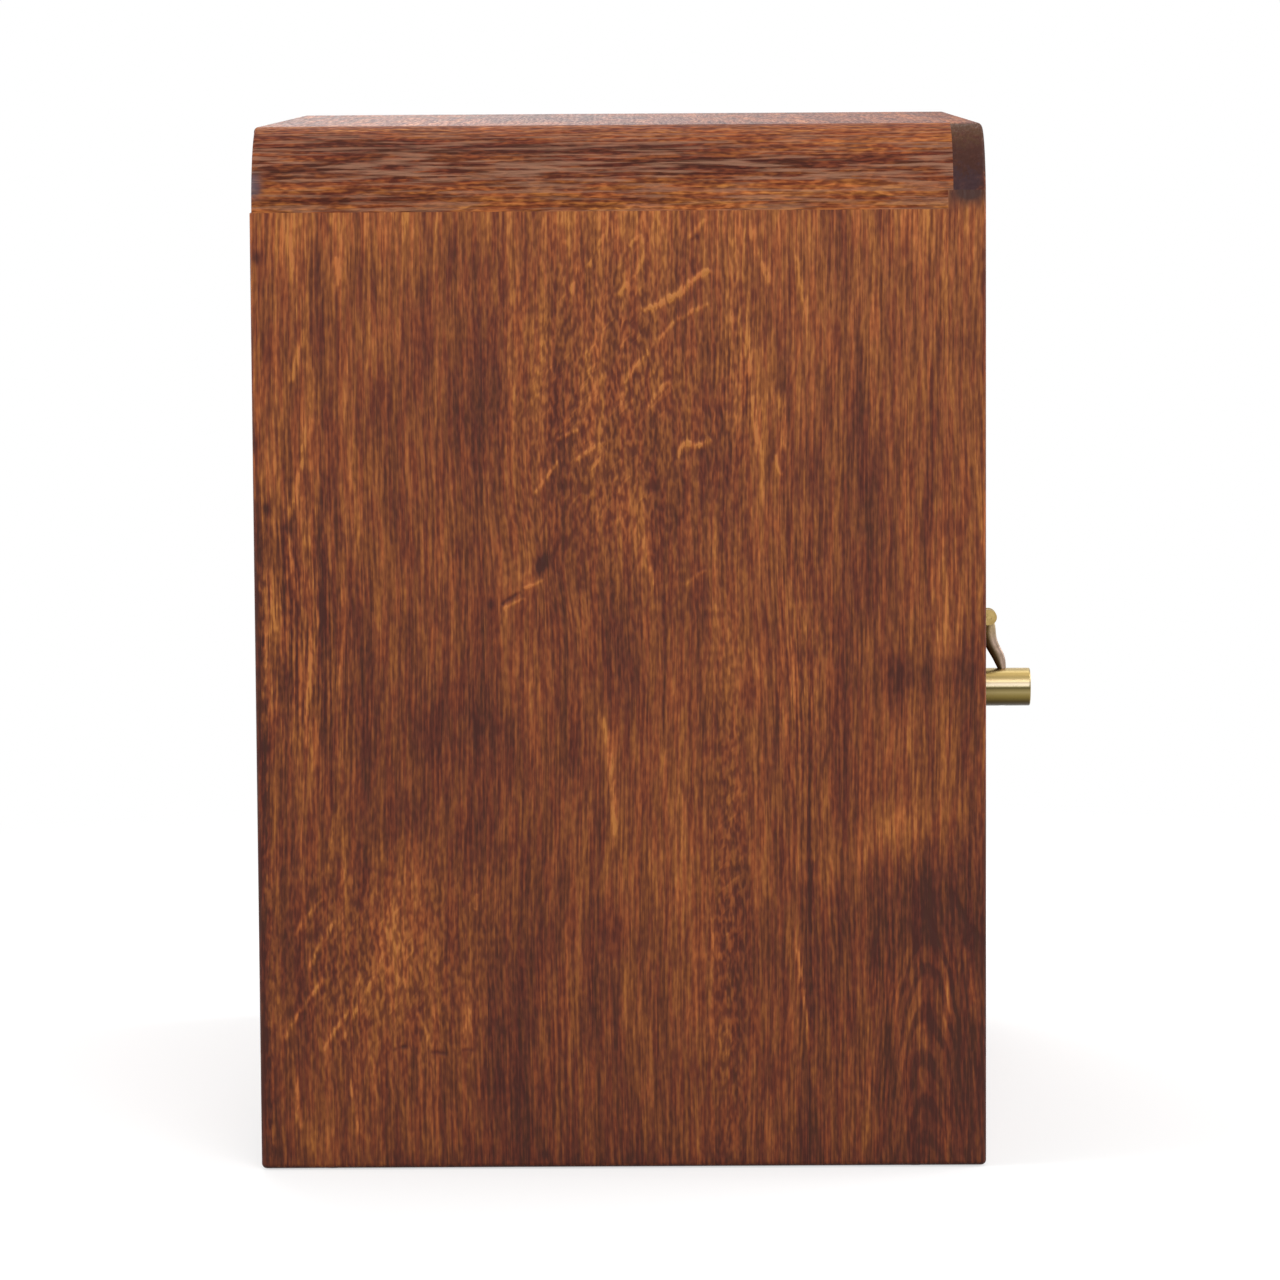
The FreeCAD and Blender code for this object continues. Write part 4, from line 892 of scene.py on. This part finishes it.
def tarnished_arm_with_painted_light(name):
    """Cast brass of the arm: tan above, olive painted shade inside, pink-grey painted reflection
    outside.
    """
    paint = Paint(bpy.data.materials.new(name))
    place, facing = paint.place_and_facing()
    foot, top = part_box("pull_arm")
    up = (place.part("Z") - foot.z) / (top.z - foot.z)
    cloud = paint.noise(paint.cells(*ARM_CELLS), 3.0)
    # Painted reflection on the outer side, painted shade on the inner side
    low = paint.mix(facing.part("Y").smooth(*ARM_LOW_STEP), ARM_LOW_PAINTED_REFLECTION, ARM_LOW_PAINTED_SHADE)
    high = paint.mix(facing.part("Y").smooth(*ARM_HIGH_STEP), ARM_HIGH_PAINTED_REFLECTION, ARM_HIGH_PAINTED_SHADE)
    colour = paint.mix(up.smooth(*ARM_HEIGHT_STEP), low, high)
    colour = paint.mix(cloud.smooth(*ARM_TARNISH_STEP) * ARM_TARNISH_SHARE, colour, ARM_TARNISH)
    return paint.surface(
        Base_Color=colour, Metallic=ARM_METALNESS,
        Roughness=ARM_DULLNESS + (cloud - 0.5) * ARM_CLOUD_DULLNESS,
        Normal=paint.bump(cloud, ARM_CLOUD_STRENGTH, ARM_CLOUD_DEPTH))


PLASTIC_CELLS = (1500, 1500, 1500)
PLASTIC_DARK = 0.7
PLASTIC_GLOSS = 0.3
PLASTIC_GRAIN_DULLNESS = 0.1
PLASTIC_GRAIN_STRENGTH = 0.1
PLASTIC_GRAIN_DEPTH = 0.0001


def plastic(name, colour, roughness):
    """Moulded plastic with a fine grain."""
    paint = Paint(bpy.data.materials.new(name))
    grain = paint.noise(paint.cells(*PLASTIC_CELLS), 2.0)
    dark = tuple(level * PLASTIC_DARK for level in colour[:3]) + (1.0,)
    return paint.surface(
        Base_Color=paint.mix(grain, colour, dark), Specular_IOR_Level=PLASTIC_GLOSS,
        Roughness=roughness + (grain - 0.5) * PLASTIC_GRAIN_DULLNESS,
        Normal=paint.bump(grain, PLASTIC_GRAIN_STRENGTH, PLASTIC_GRAIN_DEPTH))


BEECH_CELLS = (60, 700, 700)
BEECH_LIGHT = tint(206, 170, 124)
BEECH_DARK = tint(176, 136, 92)
BEECH_GLOSS = 0.25
BEECH_DULLNESS = 0.6
BEECH_GRAIN_SHINE = 0.1
BEECH_GRAIN_STRENGTH = 0.2
BEECH_GRAIN_DEPTH = 0.0002


def bare_beech(name):
    """Pale dowel wood."""
    paint = Paint(bpy.data.materials.new(name))
    grain = paint.noise(paint.cells(*BEECH_CELLS), 2.0)
    return paint.surface(
        Base_Color=paint.mix(grain.smooth(*NOISE_SPAN), BEECH_LIGHT, BEECH_DARK),
        Roughness=BEECH_DULLNESS - grain * BEECH_GRAIN_SHINE, Specular_IOR_Level=BEECH_GLOSS,
        Normal=paint.bump(grain, BEECH_GRAIN_STRENGTH, BEECH_GRAIN_DEPTH))


# Dress every node

def dress(node_name, material):
    """Give a CAD node its finish."""
    for slot in nodes[node_name].material_slots:
        slot.material = material


GRAINS = {
    # across, through and along the grain
    "side_board": "YXZ", "corner_block": "XZY", "top_board": "YZX", "bottom_board": "YZX",
    "stile": "YXZ", "top_rail": "YZX", "bottom_rail": "ZYX", "shelf_board": "YZX",
    "door_board": "XYZ", "batten": "ZYX", "back_panel": "XYZ",
}
LOOKS = {
    # tone, cathedral figure, ray flakes
    "left_side_board_3": (0.02, 0.0, 0.0), "right_side_board_1": (0.07, 0.8, 0.0),
    "right_side_board_2": (-0.07, 0.0, 0.9), "right_side_board_3": (0.05, 1.0, 0.0),
    "right_side_board_4": (-0.03, 0.0, 0.6), "door_board_1": (0.03, 0.0, 0.7),
    "door_board_2": (-0.08, 1.0, 0.0), "door_board_3": (0.07, 0.9, 0.0),
    "door_board_4": (-0.03, 0.0, 0.9), "top_board_1": (-0.03, 0.9, 0.0),
    "top_board_2": (-0.12, 0.0, 0.9), "top_board_3": (-0.01, 1.0, 0.0),
    "bottom_board_1": (-0.06, 0.7, 0.0), "bottom_board_2": (0.03, 0.0, 0.6),
    "bottom_board_3": (-0.02, 0.8, 0.0), "shelf_board_front": (0.04, 1.0, 0.0),
    "shelf_board_rear": (-0.05, 0.0, 0.8), "left_stile": (-0.01, 0.0, 0.0),
    "right_stile": (0.03, 0.6, 0.0), "bottom_rail": (-0.04, 0.8, 0.0),
    "back_panel": (-0.05, 1.0, 0.0), "upper_batten": (0.03, 0.0, 0.7),
    "lower_batten": (-0.03, 0.7, 0.0),
}
MARKS = {
    "left_corner_block": block_marks(True),
    "right_corner_block": block_marks(False),
    "top_rail": rail_marks,
    # knots: sideways and lengthways from the board's middle, and half width, in millimetres
    "door_board_2": knot_marks("door_board_2", "XYZ", 14, -92, 4.2),
    "right_side_board_3": knot_marks("right_side_board_3", "YXZ", 5, 70, 3.4),
    "top_board_3": knot_marks("top_board_3", "YZX", 8, 88, 3.8),
    "shelf_board_front": knot_marks("shelf_board_front", "YZX", -12, -60, 3.2),
}
for side_piece in ("left_stile", *(f"left_side_board_{number}" for number in (1, 2, 3, 4))):
    front, rear = (corner.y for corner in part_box(side_piece))
    MARKS[side_piece] = left_side_marks(
        (REAR_EDGE - rear) / MILLIMETRE, (REAR_EDGE - front) / MILLIMETRE)

SEED_STEP = 3.7
PLAIN_LOOK = (0.0, 0.0, 0.0)
PLAIN_RELIEF = 1.0
RELIEFS = {"corner_block": 2.6, "back_panel": 0.3, "top_board": 0.5}
PLAIN_SHEEN = (0.16, 0.5)
SHEENS = {
    # gloss, dullness
    "corner_block": (0.07, 0.72), "top_board": (0.15, 0.64), "top_rail": (0.11, 0.66),
}


def first_match(node_name, table, other):
    """What a table holds for the first of its words that is in a node's name."""
    return next((found for word, found in table.items() if word in node_name), other)


def dress_wood():
    """Oak on every board, each with its own stretch of grain."""
    for number, node_name in enumerate(sorted(nodes)):
        grain = first_match(node_name, GRAINS, None)
        if not grain:
            continue
        gloss, dullness = first_match(node_name, SHEENS, PLAIN_SHEEN)
        relief = first_match(node_name, RELIEFS, PLAIN_RELIEF)
        tone, figure, rays = LOOKS.get(node_name, PLAIN_LOOK)
        dress(node_name, oak(
            node_name, grain, SEED_STEP * number, tone=tone, relief=relief, figure=figure,
            rays=rays, contrast=BLOCK_CONTRAST if "corner_block" in node_name else 1.0,
            gloss=gloss, dullness=dullness, marks=MARKS.get(node_name)))


def dress_fittings():
    """Metals, plastic and dowels."""
    brass = metal("brass", tint(190, 166, 108), tint(158, 134, 84), 0.34)
    aged = metal("aged_brass", tint(156, 132, 88), tint(104, 84, 54), 0.42)
    steel = metal("steel", tint(190, 190, 192), tint(158, 158, 164), 0.34, 0.6)
    magnet = metal("magnet", tint(66, 66, 70), tint(44, 44, 48), 0.55, 0.6)
    brown = plastic("brown_plastic", tint(74, 50, 38), 0.5)
    beech = bare_beech("beech")
    finishes = {
        "hinge_frame_leaf": brass, "hinge_door_leaf": brass, "hinge_pins": brass,
        "pull_base": brass, "pull_pin": brass, "shelf_pins": brass, "pull_grip_screw": aged,
        "leaf_screws": aged, "pull_arm": tarnished_arm_with_painted_light("tarnished_arm_with_painted_light"), "back_screws": steel,
        "batten_screws": steel, "catch_screws": steel, "strike_screws": steel,
        "strike_plate": steel, "catch_pole_plates": steel, "pull_washer": steel,
        "pull_nut": steel, "glide_nails": steel, "catch_magnet": magnet, "catch_housing": brown,
        "glide_pads": brown, "dowels": beech, "pull_grip": turned_brass("turned_brass"),
    }
    for node_name in nodes:
        material = first_match(node_name, finishes, None)
        if material:
            dress(node_name, material)


dress_wood()
dress_fittings()
set_camera()
set_room()
set_lamps()
bpy.context.scene.view_settings.view_transform = "Standard"
